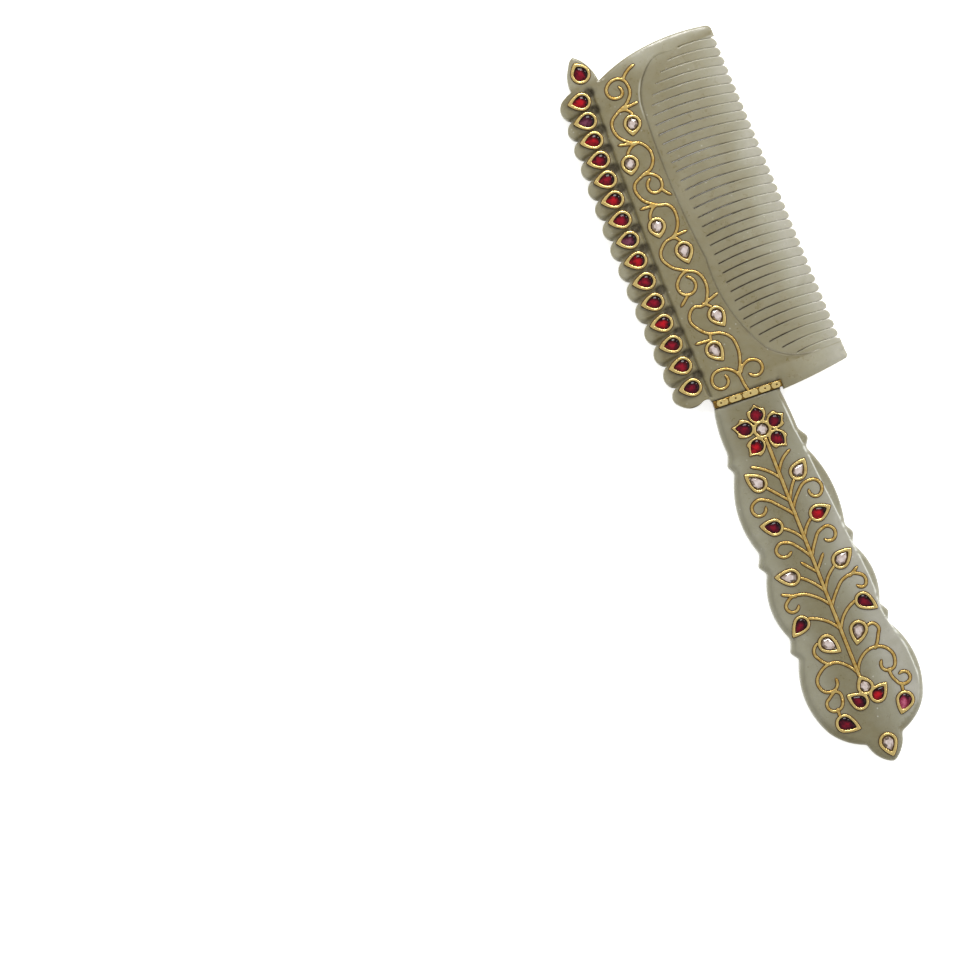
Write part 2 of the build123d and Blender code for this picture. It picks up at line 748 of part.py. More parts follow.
# ---- the whole comb ------------------------------------------------------------------------------
def main():
    os.makedirs("parts", exist_ok=True)
    petals = spine_settings() + [BUD_SETTING]
    leaves = {**LEFT_LEAVES, **RIGHT_LEAVES, **ROOT_LEAVES}

    flower_ring = Pos(*FLOWER_CENTRE) * Circle(FLOWER_RING)
    flower_eye = Pos(*FLOWER_CENTRE) * Circle(FLOWER_STONE)
    flower_plan = together([barbed_petal(*place) for place in FLOWER_PETALS]) + flower_ring
    flower_openings = openings_plan(FLOWER_PETALS, FLOWER_RIM_WIDTH) + flower_eye

    head_settings = settings_plan(petals) + settings_plan(VINE_LEAVES)
    handle_settings = settings_plan(leaves.values()) + flower_plan

    neck_cover = Rot(0, 0, NECK_TILT) * Rectangle(40, BAND_HEIGHT)
    vine = strips(VINE) - settings_plan(VINE_LEAVES) - neck_cover
    stem = strips(STEM, STEM_WIDTH, 0.0) - handle_settings
    left = strips(LEFT_BRANCHES) - stem - handle_settings
    right = strips(RIGHT_BRANCHES) - stem - handle_settings

    gold = "gold"
    save("blade", blade(vine, head_settings), "darkseagreen")
    save("handle", handle(stem + left + right, handle_settings), "darkolivegreen")
    save("tang_pin", tang_pin(), "gray")
    save("collar_band", collar_band(), gold)
    save("collar_plates", collar_plates(), "goldenrod")
    for name, plan in (
        ("head_vine", vine),
        ("handle_stem", stem),
        ("handle_branches_left", left),
        ("handle_branches_right", right),
    ):
        save(name, slab(plan, TOP - WIRE_DEPTH, TOP + WIRE_PROUD), gold)
    save("spine_collets", rims(petals), "goldenrod")
    save("head_leaf_collets", rims(VINE_LEAVES), "goldenrod")
    save("handle_leaf_collets", rims(list(leaves.values())), "goldenrod")
    save(
        "flower_collet",
        slab(flower_plan - flower_openings, SETTING_FLOOR, TOP + RIM_PROUD),
        "goldenrod",
    )

    every_opening = [teardrop(*shrink(place)) for place in petals + VINE_LEAVES + list(leaves.values())]
    every_opening += list(flower_openings.faces())
    beds = []
    foils = []
    for opening in every_opening:
        foil_low = SETTING_FLOOR + LAC_THICKNESS
        beds += slab(opening, SETTING_FLOOR, foil_low).solids()
        foils += slab(opening, foil_low, foil_low + FOIL_THICKNESS).solids()
    save("lac_beds", ShapeList(beds), "saddlebrown")
    save("foil_backings", ShapeList(foils), "silver")

    for index, place in enumerate(petals[:-1]):
        plan = teardrop(*shrink(place))
        save(f"ruby_petal_{index + 1:02d}", stone(plan, RUBY_PROUD, RUBY_CHAMFER), "crimson")
    save("ruby_top_bud", stone(teardrop(*shrink(BUD_SETTING)), RUBY_PROUD, RUBY_CHAMFER), "crimson")
    for index, place in enumerate(VINE_LEAVES):
        plan = teardrop(*shrink(place))
        save(f"diamond_vine_leaf_{index + 1}", stone(plan, DIAMOND_PROUD, DIAMOND_CHAMFER), "mistyrose")
    for index, place in enumerate(FLOWER_PETALS):
        plan = teardrop(*shrink(place, FLOWER_RIM_WIDTH))
        save(f"ruby_flower_petal_{index + 1}", stone(plan, RUBY_PROUD, RUBY_CHAMFER), "crimson")
    save("diamond_flower_centre", stone(flower_eye, DIAMOND_PROUD, DIAMOND_CHAMFER), "mistyrose")
    for name, place in leaves.items():
        plan = teardrop(*shrink(place))
        if name.startswith("ruby"):
            save(name, stone(plan, RUBY_PROUD, RUBY_CHAMFER), "crimson")
        else:
            save(name, stone(plan, DIAMOND_PROUD, DIAMOND_CHAMFER), "mistyrose")


main()
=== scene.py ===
import random
from math import cos, pi, radians, sin

import bpy
import numpy as np
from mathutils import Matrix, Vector
from mathutils.geometry import delaunay_2d_cdt
from mathutils.kdtree import KDTree


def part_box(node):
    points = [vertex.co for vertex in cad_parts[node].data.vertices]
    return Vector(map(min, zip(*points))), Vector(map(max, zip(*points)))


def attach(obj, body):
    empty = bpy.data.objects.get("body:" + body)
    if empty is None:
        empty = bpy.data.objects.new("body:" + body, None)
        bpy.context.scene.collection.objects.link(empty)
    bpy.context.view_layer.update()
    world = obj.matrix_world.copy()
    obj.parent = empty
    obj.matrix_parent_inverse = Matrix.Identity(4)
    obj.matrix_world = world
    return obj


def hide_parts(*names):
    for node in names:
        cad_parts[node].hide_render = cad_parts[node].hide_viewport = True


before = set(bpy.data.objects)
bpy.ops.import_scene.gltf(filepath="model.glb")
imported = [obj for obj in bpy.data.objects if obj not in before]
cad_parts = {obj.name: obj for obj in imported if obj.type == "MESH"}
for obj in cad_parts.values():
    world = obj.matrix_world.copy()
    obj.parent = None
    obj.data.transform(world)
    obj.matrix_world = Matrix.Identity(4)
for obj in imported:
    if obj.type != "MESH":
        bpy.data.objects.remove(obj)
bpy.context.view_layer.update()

# ---- Blade -------------------------------------------------------------------------------------------
# The head of the comb: one slab of grey-green nephrite jade, sawn and ground to 33 free teeth between two
# guards. The decorated face is carved with a row of petals down the spine and an arched step where the
# stone thins to the teeth. The whole surface is polished. It meets the handle under the gold band.

# Lengths are in millimetres about the middle of the neck joint, x towards the teeth and y towards the head.
# Heights are above the flat back.
MM = 0.001
JADE_TOP = 6.0
MIDDLE = 3.0
NECK_LEFT = -10.0
NECK_RIGHT = 10.2
SLITS = 34
SLIT_FIRST_Y = 6.3
SLIT_PITCH = 2.943
SLIT_HALF = 0.045
SLIT_END_HALF = 0.014
SLIT_DROOP = 0.11
SLIT_BOW = 1.0
SLIT_BOW_LENGTH = 25
GUARD_FLARE = 0.25
MOUTH_LENGTH = 1.9
MOUTH_HALF = 0.32
TOOTH_END = 1.0
PLATE_HALF = 2.5
TIP_HALF = 0.7
PETALS = 15
PETAL_FIRST_Y = 8.1
PETAL_PITCH = 7.15
PETAL_CROWDING = 0.042
PIT_DROP = 0.9
GROOVE_DEPTH = 1.0
GROOVE_HALF = 0.45
PETAL_DROP = 1.25
PIT_DEPTH = 0.4
ARCH_BEAD = 0.05
GUARD_LOW_EASE = 0.7
GUARD_TOP_EASE = 0.2
BUD_RIGHT = -7.4
BAND_HALF = 1.05
BAND_SEAT_TOP = 5.4
BAND_SEAT_LOW = 0.6
STONE_SEAT = 4.9
SEAT_MARGIN = 0.45
NECK_SLOPE = -0.0507
EDGE_ROUNDING = 0.5
TOOTH_ROUNDING = 0.22
SAWN_REACH = 0.3
SAW_LEAN = 0.2

pin_low, pin_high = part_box("tang_pin")
NECK_X = (pin_low[0] + pin_high[0]) / 2 / MM
NECK_Y = (pin_low[1] + pin_high[1]) / 2 / MM


def arc(start, through, end, step=0.5):
    """Points along the circle from start through a point to end, without the first one."""
    (ax, ay), (bx, by), (cx, cy) = start, through, end
    d = 2 * (ax * (by - cy) + bx * (cy - ay) + cx * (ay - by))
    if abs(d) < 1e-6:
        count = max(1, int(np.hypot(cx - ax, cy - ay) / step))
        return [(ax + (cx - ax) * k / count, ay + (cy - ay) * k / count) for k in range(1, count + 1)]
    a2, b2, c2 = ax * ax + ay * ay, bx * bx + by * by, cx * cx + cy * cy
    ox = (a2 * (by - cy) + b2 * (cy - ay) + c2 * (ay - by)) / d
    oy = (a2 * (cx - bx) + b2 * (ax - cx) + c2 * (bx - ax)) / d
    radius = np.hypot(ax - ox, ay - oy)
    first = np.arctan2(ay - oy, ax - ox)
    past = (np.arctan2(by - oy, bx - ox) - first) % (2 * pi)
    sweep = (np.arctan2(cy - oy, cx - ox) - first) % (2 * pi)
    if past > sweep:
        sweep -= 2 * pi
    count = max(2, int(radius * abs(sweep) / step))
    turns = [first + sweep * k / count for k in range(1, count + 1)]
    return [(ox + radius * cos(t), oy + radius * sin(t)) for t in turns]


def run(start, *steps, step=0.5):
    """An outline as points: a step is a straight run to a point, or an arc through one point to another."""
    points = [start]
    for way in steps:
        if isinstance(way[0], tuple):
            points += arc(points[-1], way[0], way[1], step)
        else:
            middle = ((points[-1][0] + way[0]) / 2, (points[-1][1] + way[1]) / 2)
            points += arc(points[-1], middle, way, step)
    return points


def petal_y(index):
    """How high up the spine a petal's stone sits. The petals crowd together a little towards the head."""
    return PETAL_FIRST_Y + PETAL_PITCH * index - PETAL_CROWDING * index**2


def spine_bow(y):
    """The line of the stones down the spine, which bows a little."""
    return -15.9 + 1.5 * ((y - 54) / 46) ** 2


def smooth(low, high, x):
    """0 below low, 1 above high, and an even curve between them."""
    t = np.clip((x - low) / (high - low), 0, 1)
    return t * t * (3 - 2 * t)


def tip_x(y):
    """The line of the tooth tips, from the head down to the neck, with a slight bow."""
    return 32.3 - 0.0232 * (y - 2) + 0.15 * (1 - ((y - 54) / 52) ** 2)


def slit_half(t):
    """Half the gap between two teeth at a distance t from the line of their tips."""
    widening = MOUTH_HALF * np.clip(1 - t / MOUTH_LENGTH, 0, 1) ** 1.6
    gap = SLIT_END_HALF + (SLIT_HALF - SLIT_END_HALF) * smooth(8, 17, t) + widening
    if t >= TOOTH_END:
        return gap
    tooth = SLIT_PITCH / 2 - gap
    return SLIT_PITCH / 2 - tooth * (1 - ((TOOTH_END - t) / TOOTH_END) ** 2) ** 0.5


def slit_root_x(y):
    """How far in towards the spine a saw cut reaches when its root is at height y."""
    if y < 24.5:
        return 7.0 + 0.035 * (24.5 - y) ** 2
    if y < 60:
        return 5.5 + 1.5 * (60 - y) / 35.5
    if y < 80:
        return 5.5 - 0.09 * (y - 60)
    return 3.7 + 0.00097 * (y - 80) ** 3


def slit_edges(index):
    """The two sides of one saw cut, from the tips to the root and back again."""
    tip_y = SLIT_FIRST_Y + SLIT_PITCH * index
    end_x = tip_x(tip_y)
    droop = SLIT_DROOP * index / (SLITS - 1)
    root_x = slit_root_x(tip_y)
    for _ in range(4):
        root_y = tip_y + droop * (end_x - root_x)
        root_x = slit_root_x(root_y)
    bow = SLIT_BOW * (end_x - root_x) / SLIT_BOW_LENGTH
    upper, lower = [], []
    near_tip = [0.0, 0.06, 0.16, 0.3, 0.48, 0.7, 1.0, 1.35, 1.75, 2.3]
    along = near_tip + list(np.arange(3.2, end_x - root_x - 0.4, 0.9)) + [end_x - root_x - 0.1]
    for t in along:
        x = end_x - t
        u = t / (end_x - root_x)
        y = tip_y + (root_y - tip_y) * u + bow * 4 * u * (1 - u)
        half = slit_half(t)
        if index == SLITS - 1 and t < TOOTH_END:
            upper.append((x, y + SLIT_END_HALF + MOUTH_HALF + GUARD_FLARE * (1 - t / TOOTH_END) ** 2))
        else:
            upper.append((x, y + half))
        if index == 0 and t < TOOTH_END:
            lower.append((x, y - SLIT_END_HALF - MOUTH_HALF - GUARD_FLARE * (1 - t / TOOTH_END) ** 2))
        else:
            lower.append((x, y - half))
    root = [(root_x - 0.15, root_y)]
    return upper + root + lower[::-1]


def blade_plan():
    """The outline of the blade: round the petals and the bud, then down the teeth and back to the neck."""
    start = (NECK_LEFT, NECK_SLOPE * NECK_LEFT)
    lobes = []
    for index in range(PETALS):
        y = petal_y(index)
        lobe = (spine_bow(y) - 6.85, y - 2.3)
        notch = (spine_bow(y + 3.0) - 4.6, y + 1.3)
        lobes.append((lobe, notch if index < PETALS - 1 else (-19.4, 102.3)))
    edge = run(
        start,
        (-9.95, BAND_HALF + 0.5),
        (-10.65, BAND_HALF + 0.55),
        (-11.0, 2.6),
        ((-12.6, 2.9), (-13.6, 2.5)),
        ((-16.2, 2.0), (-19.4, 3.4)),
        (-20.2, 4.2),
        *lobes,
        ((-17.9, 103.0), (-16.3, 103.6)),
        ((-15.9, 108.0), (-14.4, 111.0)),
        ((-13.6, 112.3), (-12.3, 113.2)),
        ((-9.9, 111.0), (-8.9, 109.3)),
        ((-7.8, 106.5), (-7.4, 103.9)),
        ((1.0, 107.0), (10.0, 108.6)),
        ((19.5, 108.9), (28.4, 107.9)),
        ((29.5, 107.3), (29.9, 106.0)),
    )
    for index in reversed(range(SLITS)):
        sides = slit_edges(index)
        if abs(sides[0][1] - edge[-1][1]) < 0.05:
            sides = sides[1:]
        edge += sides
    edge += run(
        edge[-1],
        (32.5, 1.1),
        ((32.35, -0.2), (31.8, -0.6)),
        ((21.0, -1.9), (10.9, -2.5)),
        (10.85, -1.7),
        (10.85, BAND_HALF - 0.5),
        (NECK_RIGHT, BAND_HALF - 0.55),
        (NECK_RIGHT, NECK_SLOPE * NECK_RIGHT),
    )[1:]
    return edge


# The line of the arched step where the stone thins to the teeth.
ARCH = run(
    (40.0, 4.4),
    (24.4, 4.4),
    ((16.5, 6.2), (10.1, 11.1)),
    ((5.2, 22.0), (3.1, 42.4)),
    ((1.3, 70.0), (1.9, 90.5)),
    ((3.4, 97.0), (8.3, 103.2)),
    ((10.6, 104.6), (14.0, 104.9)),
    (40.0, 104.9),
    step=0.25,
)


def tree_of(points):
    """The points sorted for finding the nearest one."""
    tree = KDTree(len(points))
    for index, (x, y) in enumerate(points):
        tree.insert((x, y, 0), index)
    tree.balance()
    return tree


def distances(tree, x, y):
    """How far each point is from the nearest point of the tree, and which one that is."""
    found = [tree.find((px, py, 0)) for px, py in zip(x, y)]
    return np.array([hit[2] for hit in found]), np.array([hit[1] for hit in found])


def dense(points, step=0.08, closed=True):
    """The same line with points close together, so that the nearest point is the distance to it."""
    out = []
    ends = points[1:] + points[:1] if closed else points[1:]
    for (ax, ay), (bx, by) in zip(points, ends):
        count = max(1, int(np.hypot(bx - ax, by - ay) / step))
        out += [(ax + (bx - ax) * k / count, ay + (by - ay) * k / count) for k in range(count)]
    return out


def hull(points):
    """The points round the outside of a set, in order, for a plan that is convex."""
    points = sorted(set(points))
    sides = []
    for way in (points, points[::-1]):
        side = []
        for p in way:
            while len(side) > 1:
                (ax, ay), (bx, by) = side[-2], side[-1]
                if (bx - ax) * (p[1] - ay) - (by - ay) * (p[0] - ax) > 1e-7:
                    break
                side.pop()
            side.append(p)
        sides.append(side[:-1])
    return sides[0] + sides[1]


def stone_plan(node):
    """The outline of a stone in its setting, in millimetres about the neck joint."""
    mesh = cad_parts[node].data
    corners = [(round(v.co.x / MM - NECK_X, 4), round(v.co.y / MM - NECK_Y, 4)) for v in mesh.vertices]
    return hull(corners)


def grown(loop, by):
    """A convex outline moved outward by a distance."""
    cx, cy = np.mean(loop, axis=0)
    out = []
    for x, y in loop:
        far = np.hypot(x - cx, y - cy)
        out.append((cx + (x - cx) * (far + by) / far, cy + (y - cy) * (far + by) / far))
    return out


STONES = [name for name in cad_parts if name.startswith(("ruby", "diamond"))]
POCKETS = [stone_plan(name) for name in STONES]


def carved(name, edge, rings, spots, lines, heights, rounding):
    """A slab of stone: triangles between its edge and free points, lifted to the heights of its two faces."""
    near = tree_of(dense(edge))
    points = list(edge)
    segments = [(k, (k + 1) % len(edge)) for k in range(len(edge))]
    for line, closed in lines:
        base = len(points)
        points += line
        segments += [(base + k, base + k + 1) for k in range(len(line) - 1)]
        if closed:
            segments.append((base + len(line) - 1, base))
    free = list(spots)
    count = len(edge)
    for k in range(count):
        (ax, ay), (bx, by), (cx, cy) = edge[k - 1], edge[k], edge[(k + 1) % count]
        tx, ty = cx - ax, cy - ay
        size = np.hypot(tx, ty) or 1
        free += [(bx + ty / size * d, by - tx / size * d, d) for d in rings]
    fx = np.array([p[0] for p in free])
    fy = np.array([p[1] for p in free])
    want = np.array([p[2] if len(p) > 2 else rings[-1] * 1.15 for p in free])
    away = distances(near, fx, fy)[0]
    keep = away > want * 0.93
    points += list(zip(fx[keep], fy[keep]))
    outline = list(range(len(edge)))[::-1]
    flat = delaunay_2d_cdt([Vector(p) for p in points], segments, [outline], 0, 1e-5, True)
    plan = np.array([tuple(v) for v in flat[0]])
    triangles = np.array([t for t, within in zip(flat[2], flat[5]) if within])
    a, b, c = (plan[triangles[:, k]] for k in range(3))
    turn = (b[:, 0] - a[:, 0]) * (c[:, 1] - a[:, 1]) - (b[:, 1] - a[:, 1]) * (c[:, 0] - a[:, 0])
    triangles[turn < 0] = triangles[turn < 0][:, ::-1]
    triangles = triangles[np.abs(turn) > 1e-9]
    used, triangles = np.unique(triangles, return_inverse=True)
    triangles = triangles.reshape(-1, 3)
    plan = plan[used]
    x, y = plan[:, 0], plan[:, 1]
    d = distances(near, x, y)[0]
    top, bottom, marks = heights(x, y, d)
    bend = rounding(x, y)
    curve = bend - np.sqrt(np.clip(bend**2 - np.clip(bend - d, 0, None) ** 2, 0, None))
    top = top - curve
    bottom = bottom + curve
    total = len(plan)
    lean = marks.pop("lean", 0 * y)
    verts = np.concatenate([np.column_stack([x, y, top]), np.column_stack([x, y + lean, bottom])])
    faces = [tuple(t) for t in triangles] + [tuple(t[::-1] + total) for t in triangles]
    sides = {(int(t[k]), int(t[(k + 1) % 3])) for t in triangles for k in range(3)}
    for p, q in sorted(sides):
        if (q, p) not in sides:
            faces.append((p + total, q + total, q, p))
    verts[:, 0] += NECK_X
    verts[:, 1] += NECK_Y
    mesh = bpy.data.meshes.new(name)
    mesh.from_pydata([tuple(v) for v in verts * MM], [], faces)
    mesh.polygons.foreach_set("use_smooth", [True] * len(mesh.polygons))
    for mark, values in marks.items():
        under = values if mark == "painted_light" else values * (d < SAWN_REACH)
        layer = mesh.attributes.new(mark, "FLOAT", "POINT")
        layer.data.foreach_set("value", np.concatenate([values, under]).astype(np.float32))
    piece = bpy.data.objects.new(name, mesh)
    bpy.context.scene.collection.objects.link(piece)
    return piece


# How much painted light the blade gets, as paleness where light shows through the thin stone, where 1 is
# the thin outer end of a tooth.
PALE_X = (2, 12, 20, 25, 29, 32)
PALE_PLATE = (0.15, 0.22, 0.4, 0.72, 1.0, 1.15)
PALE_HEAD_X = (-6, 5, 22, 30)
PALE_HEAD = (0.1, 0.65, 0.7, 0.7)
PALE_FOOT_X = (8, 16, 27, 33)
PALE_FOOT = (0.1, 0.35, 0.8, 1.1)
PALE_LOBES = 0.5
PALE_BUD = 0.55

# How dark each hollow is painted: painted shade in the arch crease, the groove, the cuts and below the
# petals, real dirt and painted shade in the pits, and a dark line along the band's edge.
CREASE_SHADE = 0.5
GROOVE_SHADE = 0.5
CUT_SHADE = 0.45
PIT_DIRT_AND_SHADE = 1.5
PETAL_SHADE = 0.4
JOINT_STAIN = 0.9


def behind_arch(x, y):
    """How far each point is past the arched step, towards the teeth. It is negative towards the spine."""
    away, index = distances(tree_of(ARCH), x, y)
    line = np.array(ARCH)
    ahead = line[np.clip(index + 1, 0, len(line) - 1)] - line[np.clip(index - 1, 0, len(line) - 1)]
    side = ahead[:, 0] * (y - line[index, 1]) - ahead[:, 1] * (x - line[index, 0])
    return np.where(side < 0, away, -away)


def blade_painted_light(x, y, inside):
    """Painted light for each point, as paleness where light shows through the thin stone: most at the tips,
    the ends of the guards, the bud and the petals' rims.
    """
    plate = np.interp(x, PALE_X, PALE_PLATE) * smooth(-0.1, 0.5, inside)
    head = np.interp(x, PALE_HEAD_X, PALE_HEAD) * smooth(98, 105.5, y - 0.12 * x)
    foot = np.interp(x, PALE_FOOT_X, PALE_FOOT) * (y < 4.6)
    lobes = PALE_LOBES * smooth(-18.8, -21.3, x)
    bud = PALE_BUD * smooth(103.0, 105.5, y) * (x < BUD_RIGHT)
    return np.maximum.reduce([plate - 0.1 * smooth(34, 14, y), head, foot, lobes, bud])


def carve_spine(x, y, top, dirt_and_shade):
    """Cuts the groove, the sloping petals, the cuts between them and the pits at the groove, and paints shade
    into them and below each petal, with real dirt as well in the pits.
    """
    groove_x = -11.75 + ((y - 54) / 48) ** 2
    spine = x < groove_x
    groove = np.exp(-(((x - groove_x) / GROOVE_HALF) ** 2)) * ((y > 3.2) & (y < 102))
    top = top - GROOVE_DEPTH * groove
    dirt_and_shade = dirt_and_shade + GROOVE_SHADE * groove
    slope = np.clip((spine_bow(y) - 0.6 - x) / 6.0, 0, 1)
    top = np.where(spine & (y < 103), top - PETAL_DROP * slope**1.3, top)
    out = np.clip((spine_bow(y) + 3.0 - x) / 8.0, 0, 1)
    shade = np.zeros(len(x))
    for k in range(PETALS):
        middle = petal_y(k)
        if k < PETALS - 1:
            halfway = (middle + petal_y(k + 1)) / 2
            between = halfway - 1.5 * out
            cut = np.exp(-(((y - between) / (0.35 + 0.5 * out)) ** 2))
            top = np.where(spine, top - (0.75 + 0.5 * out) * cut, top)
            dirt_and_shade = np.where(spine, np.maximum(dirt_and_shade, CUT_SHADE * cut), dirt_and_shade)
        else:
            halfway = middle + 2.4
        pit_x = spine_bow(halfway) + 2.8
        pit_y = halfway - PIT_DROP
        from_pit = ((x - pit_x) / 1.25) ** 2 + ((y - pit_y) / 1.15) ** 2
        top = top - PIT_DEPTH * np.exp(-from_pit)
        # Real dirt and painted shade in each pit.
        dirt_and_shade = np.maximum(dirt_and_shade, PIT_DIRT_AND_SHADE * np.exp(-((from_pit * 0.5) ** 1.5)))
        # Painted shade below each petal.
        under_x, under_y = spine_bow(middle) - 1.6, middle - 2.6
        under = ((x - under_x) / 2.8) ** 2 + ((y - under_y) / 0.9) ** 2
        shade = np.maximum(shade, np.exp(-(under**2)))
    return top, np.maximum(dirt_and_shade, PETAL_SHADE * shade * spine)


def blade_heights(x, y, d):
    """The two faces of the blade, and its marks: dirt and painted shade, painted light through the thin
    stone, a painted highlight on the arch's lip and the lean of the saw cuts.
    """
    inside = behind_arch(x, y)
    step = smooth(-0.05, 0.3, inside)
    # Painted shade along the foot of the arched step, fading out near the head.
    crease_shade = CREASE_SHADE * np.exp(-(((inside - 0.15) / 0.35) ** 2)) * smooth(27, 20, x)
    crease_shade *= 1 - smooth(99, 104, y) * smooth(5, 11, x)
    # A painted highlight along the lip of the arched step near the head.
    lip_highlight = 0.4 * np.exp(-(((inside + 0.4) / 0.2) ** 2)) * smooth(86, 92, y) * smooth(101, 98, y)
    guard = np.where(y < 6, smooth(12, 27, x), np.where(y > 103, smooth(7, 18, x), 0))
    step = np.maximum(step, guard)
    half = PLATE_HALF - (PLATE_HALF - TIP_HALF) * np.clip((x - 14) / 20, 0, 1)
    top = JADE_TOP * (1 - step) + (MIDDLE + half) * step
    bottom = (MIDDLE - half) * step
    top += ARCH_BEAD * np.exp(-(((inside + 0.35) / 0.25) ** 2)) * (1 - guard)
    low_guard = (y < 2.6) & (x > 10.5)
    top = np.where(low_guard, top - GUARD_LOW_EASE * np.clip(1 - d / 2.7, 0, 1), top)
    top_guard = (y > 104) & (x > BUD_RIGHT) & ((y > 106.4) | (x < 12))
    top = np.where(top_guard, top - GUARD_TOP_EASE * np.clip(1 - d / 1.6, 0, 1), top)
    top, dirt_and_shade = carve_spine(x, y, top, crease_shade)
    # Painted shade along the sides of each saw cut, fading out towards the tips.
    sawn_shade = smooth(SAWN_REACH, 0.04, d) * smooth(0.3, 1.5, inside) * smooth(26, 16, x) * smooth(103, 80, y)
    from_band = np.abs(y - NECK_SLOPE * x - BAND_HALF)
    joint = JOINT_STAIN * smooth(0.6, 0.2, from_band) * (x < 10.4)
    dirt_and_shade = np.maximum.reduce([dirt_and_shade, sawn_shade, joint])
    seat = (np.abs(y - NECK_SLOPE * x) < BAND_HALF) & (x < 10.4)
    top = np.where(seat, BAND_SEAT_TOP, top)
    bottom = np.where(seat, BAND_SEAT_LOW, bottom)
    lean = SAW_LEAN * smooth(0.3, 1.5, inside) * smooth(30, 25, x)
    marks = {"dirt_and_shade": np.clip(dirt_and_shade, 0, 1), "painted_light": blade_painted_light(x, y, inside), "painted_ridge_highlight": lip_highlight, "lean": lean}
    return pocketed(x, y, top), bottom, marks


def blade_rounding(x, y):
    """How far the polish rounds the edge: less at the teeth than round the body."""
    return np.where((x > 2.8) & (y > 5.2) & (y < 106.6), TOOTH_ROUNDING, EDGE_ROUNDING)


def pocketed(x, y, top):
    """Cuts the seat of each stone into the decorated face."""
    for loop in POCKETS:
        cx, cy = np.mean(loop, axis=0)
        close = np.flatnonzero((np.abs(x - cx) < 5) & (np.abs(y - cy) < 5))
        if not len(close):
            continue
        ring = np.array(grown(loop, SEAT_MARGIN))
        inside = np.ones(len(close), bool)
        for (ax, ay), (bx, by) in zip(ring, np.roll(ring, -1, axis=0)):
            inside &= (bx - ax) * (y[close] - ay) - (by - ay) * (x[close] - ax) > -1e-9
        hit = close[inside]
        top[hit] = STONE_SEAT
    return top


def pocket_lines(low_y, high_y):
    """Two close outlines at each seat, so that its wall is upright and hidden under the gold rim."""
    lines = []
    for loop in POCKETS:
        if low_y < np.mean(loop, axis=0)[1] < high_y:
            lines.append((grown(loop, 0.4), True))
            lines.append((grown(loop, 0.5), True))
    return lines


def neck_lines(x0, x1, side):
    """Close lines across the neck, at the edge of the band's seat and just outside it."""
    lines = []
    for gap in (-0.03, 0.03, 0.12, 0.3):
        y = side * (BAND_HALF + gap)
        lines.append(([(x0, NECK_SLOPE * x0 + y), (x1, NECK_SLOPE * x1 + y)], False))
    return lines


def grid(x0, x1, y0, y1, step):
    """Evenly spaced points in rows, every other row shifted by half a step."""
    spots = []
    for j, y in enumerate(np.arange(y0, y1, step)):
        shift = step / 2 if j % 2 else 0
        spots += [(x + shift, y) for x in np.arange(x0, x1, step)]
    return spots


def blade_spots():
    """Free points: coarse on the body, fine at the petals, and close together on each side of the arch."""
    spots = grid(-9.4, 33.0, 1.0, 110.0, 1.1)
    spots += grid(-23.0, -9.4, 2.0, 103.5, 0.42)
    spots += grid(-17.0, -7.0, 103.5, 113.0, 0.8)
    for k in range(1, len(ARCH) - 1, 2):
        tx, ty = ARCH[k + 1][0] - ARCH[k - 1][0], ARCH[k + 1][1] - ARCH[k - 1][1]
        size = np.hypot(tx, ty)
        for d in (-0.85, -0.6, -0.45, -0.3, -0.15, -0.03, 0.1, 0.22, 0.35, 0.55, 0.85):
            spots.append((ARCH[k][0] + ty / size * d, ARCH[k][1] - tx / size * d))
    return spots


blade = carved(
    "jade_blade",
    blade_plan(),
    (0.04, 0.11, 0.22, 0.5),
    blade_spots(),
    pocket_lines(2, 120) + neck_lines(-9.9, 10.1, 1),
    blade_heights,
    blade_rounding,
)


def linear(code):
    """An sRGB hex colour as linear RGBA."""
    parts = [int(code[k:k + 2], 16) / 255 for k in (0, 2, 4)]
    return (*[c / 12.92 if c <= 0.04045 else ((c + 0.055) / 1.055) ** 2.4 for c in parts], 1)


def add(tree, kind, sockets=(), stops=(), **settings):
    """Adds one node with its settings, and sets or links its sockets."""
    made = tree.nodes.new("ShaderNode" + kind)
    for name, value in settings.items():
        setattr(made, name, value)
    for name, value in dict(sockets).items():
        if isinstance(value, bpy.types.NodeSocket):
            tree.links.new(value, made.inputs[name])
        else:
            made.inputs[name].default_value = value
    for index, (place, code) in enumerate(stops):
        elements = made.color_ramp.elements
        stop = elements[index] if index < 2 else elements.new(place)
        stop.position = place
        stop.color = linear(code)
    return made


def surface(name):
    """A new material with its shader, for the sections that follow."""
    material = bpy.data.materials.new(name)
    material.use_nodes = True
    tree = material.node_tree
    tree.nodes.clear()
    shader = add(tree, "BsdfPrincipled")
    add(tree, "OutputMaterial", {"Surface": shader.outputs[0]})
    return material, tree, shader


# Polished nephrite jade: a tough, fibrous, slightly cloudy stone. Light goes a little way in, and the
# paleness where light shows through is painted into the colour, so thick parts look grey-green and the thin
# teeth look paler, with soft clouds, faint veins and pale flecks.
JADE_CLOUD = 14.0
JADE_MOTTLE = 2.2
JADE_FLECK = 0.9
FLECK_SPACING = 2.4
POLISH_WAVE = 5.0
POLISH_WAVE_DEPTH = 0.12
MOTTLE_TINT = "8C8A72"
FLECK_TINT = "E0DFD2"
DIRT_AND_SHADE_TINT = "2E240A"
RIDGE_HIGHLIGHT_TINT = "EFF0E6"


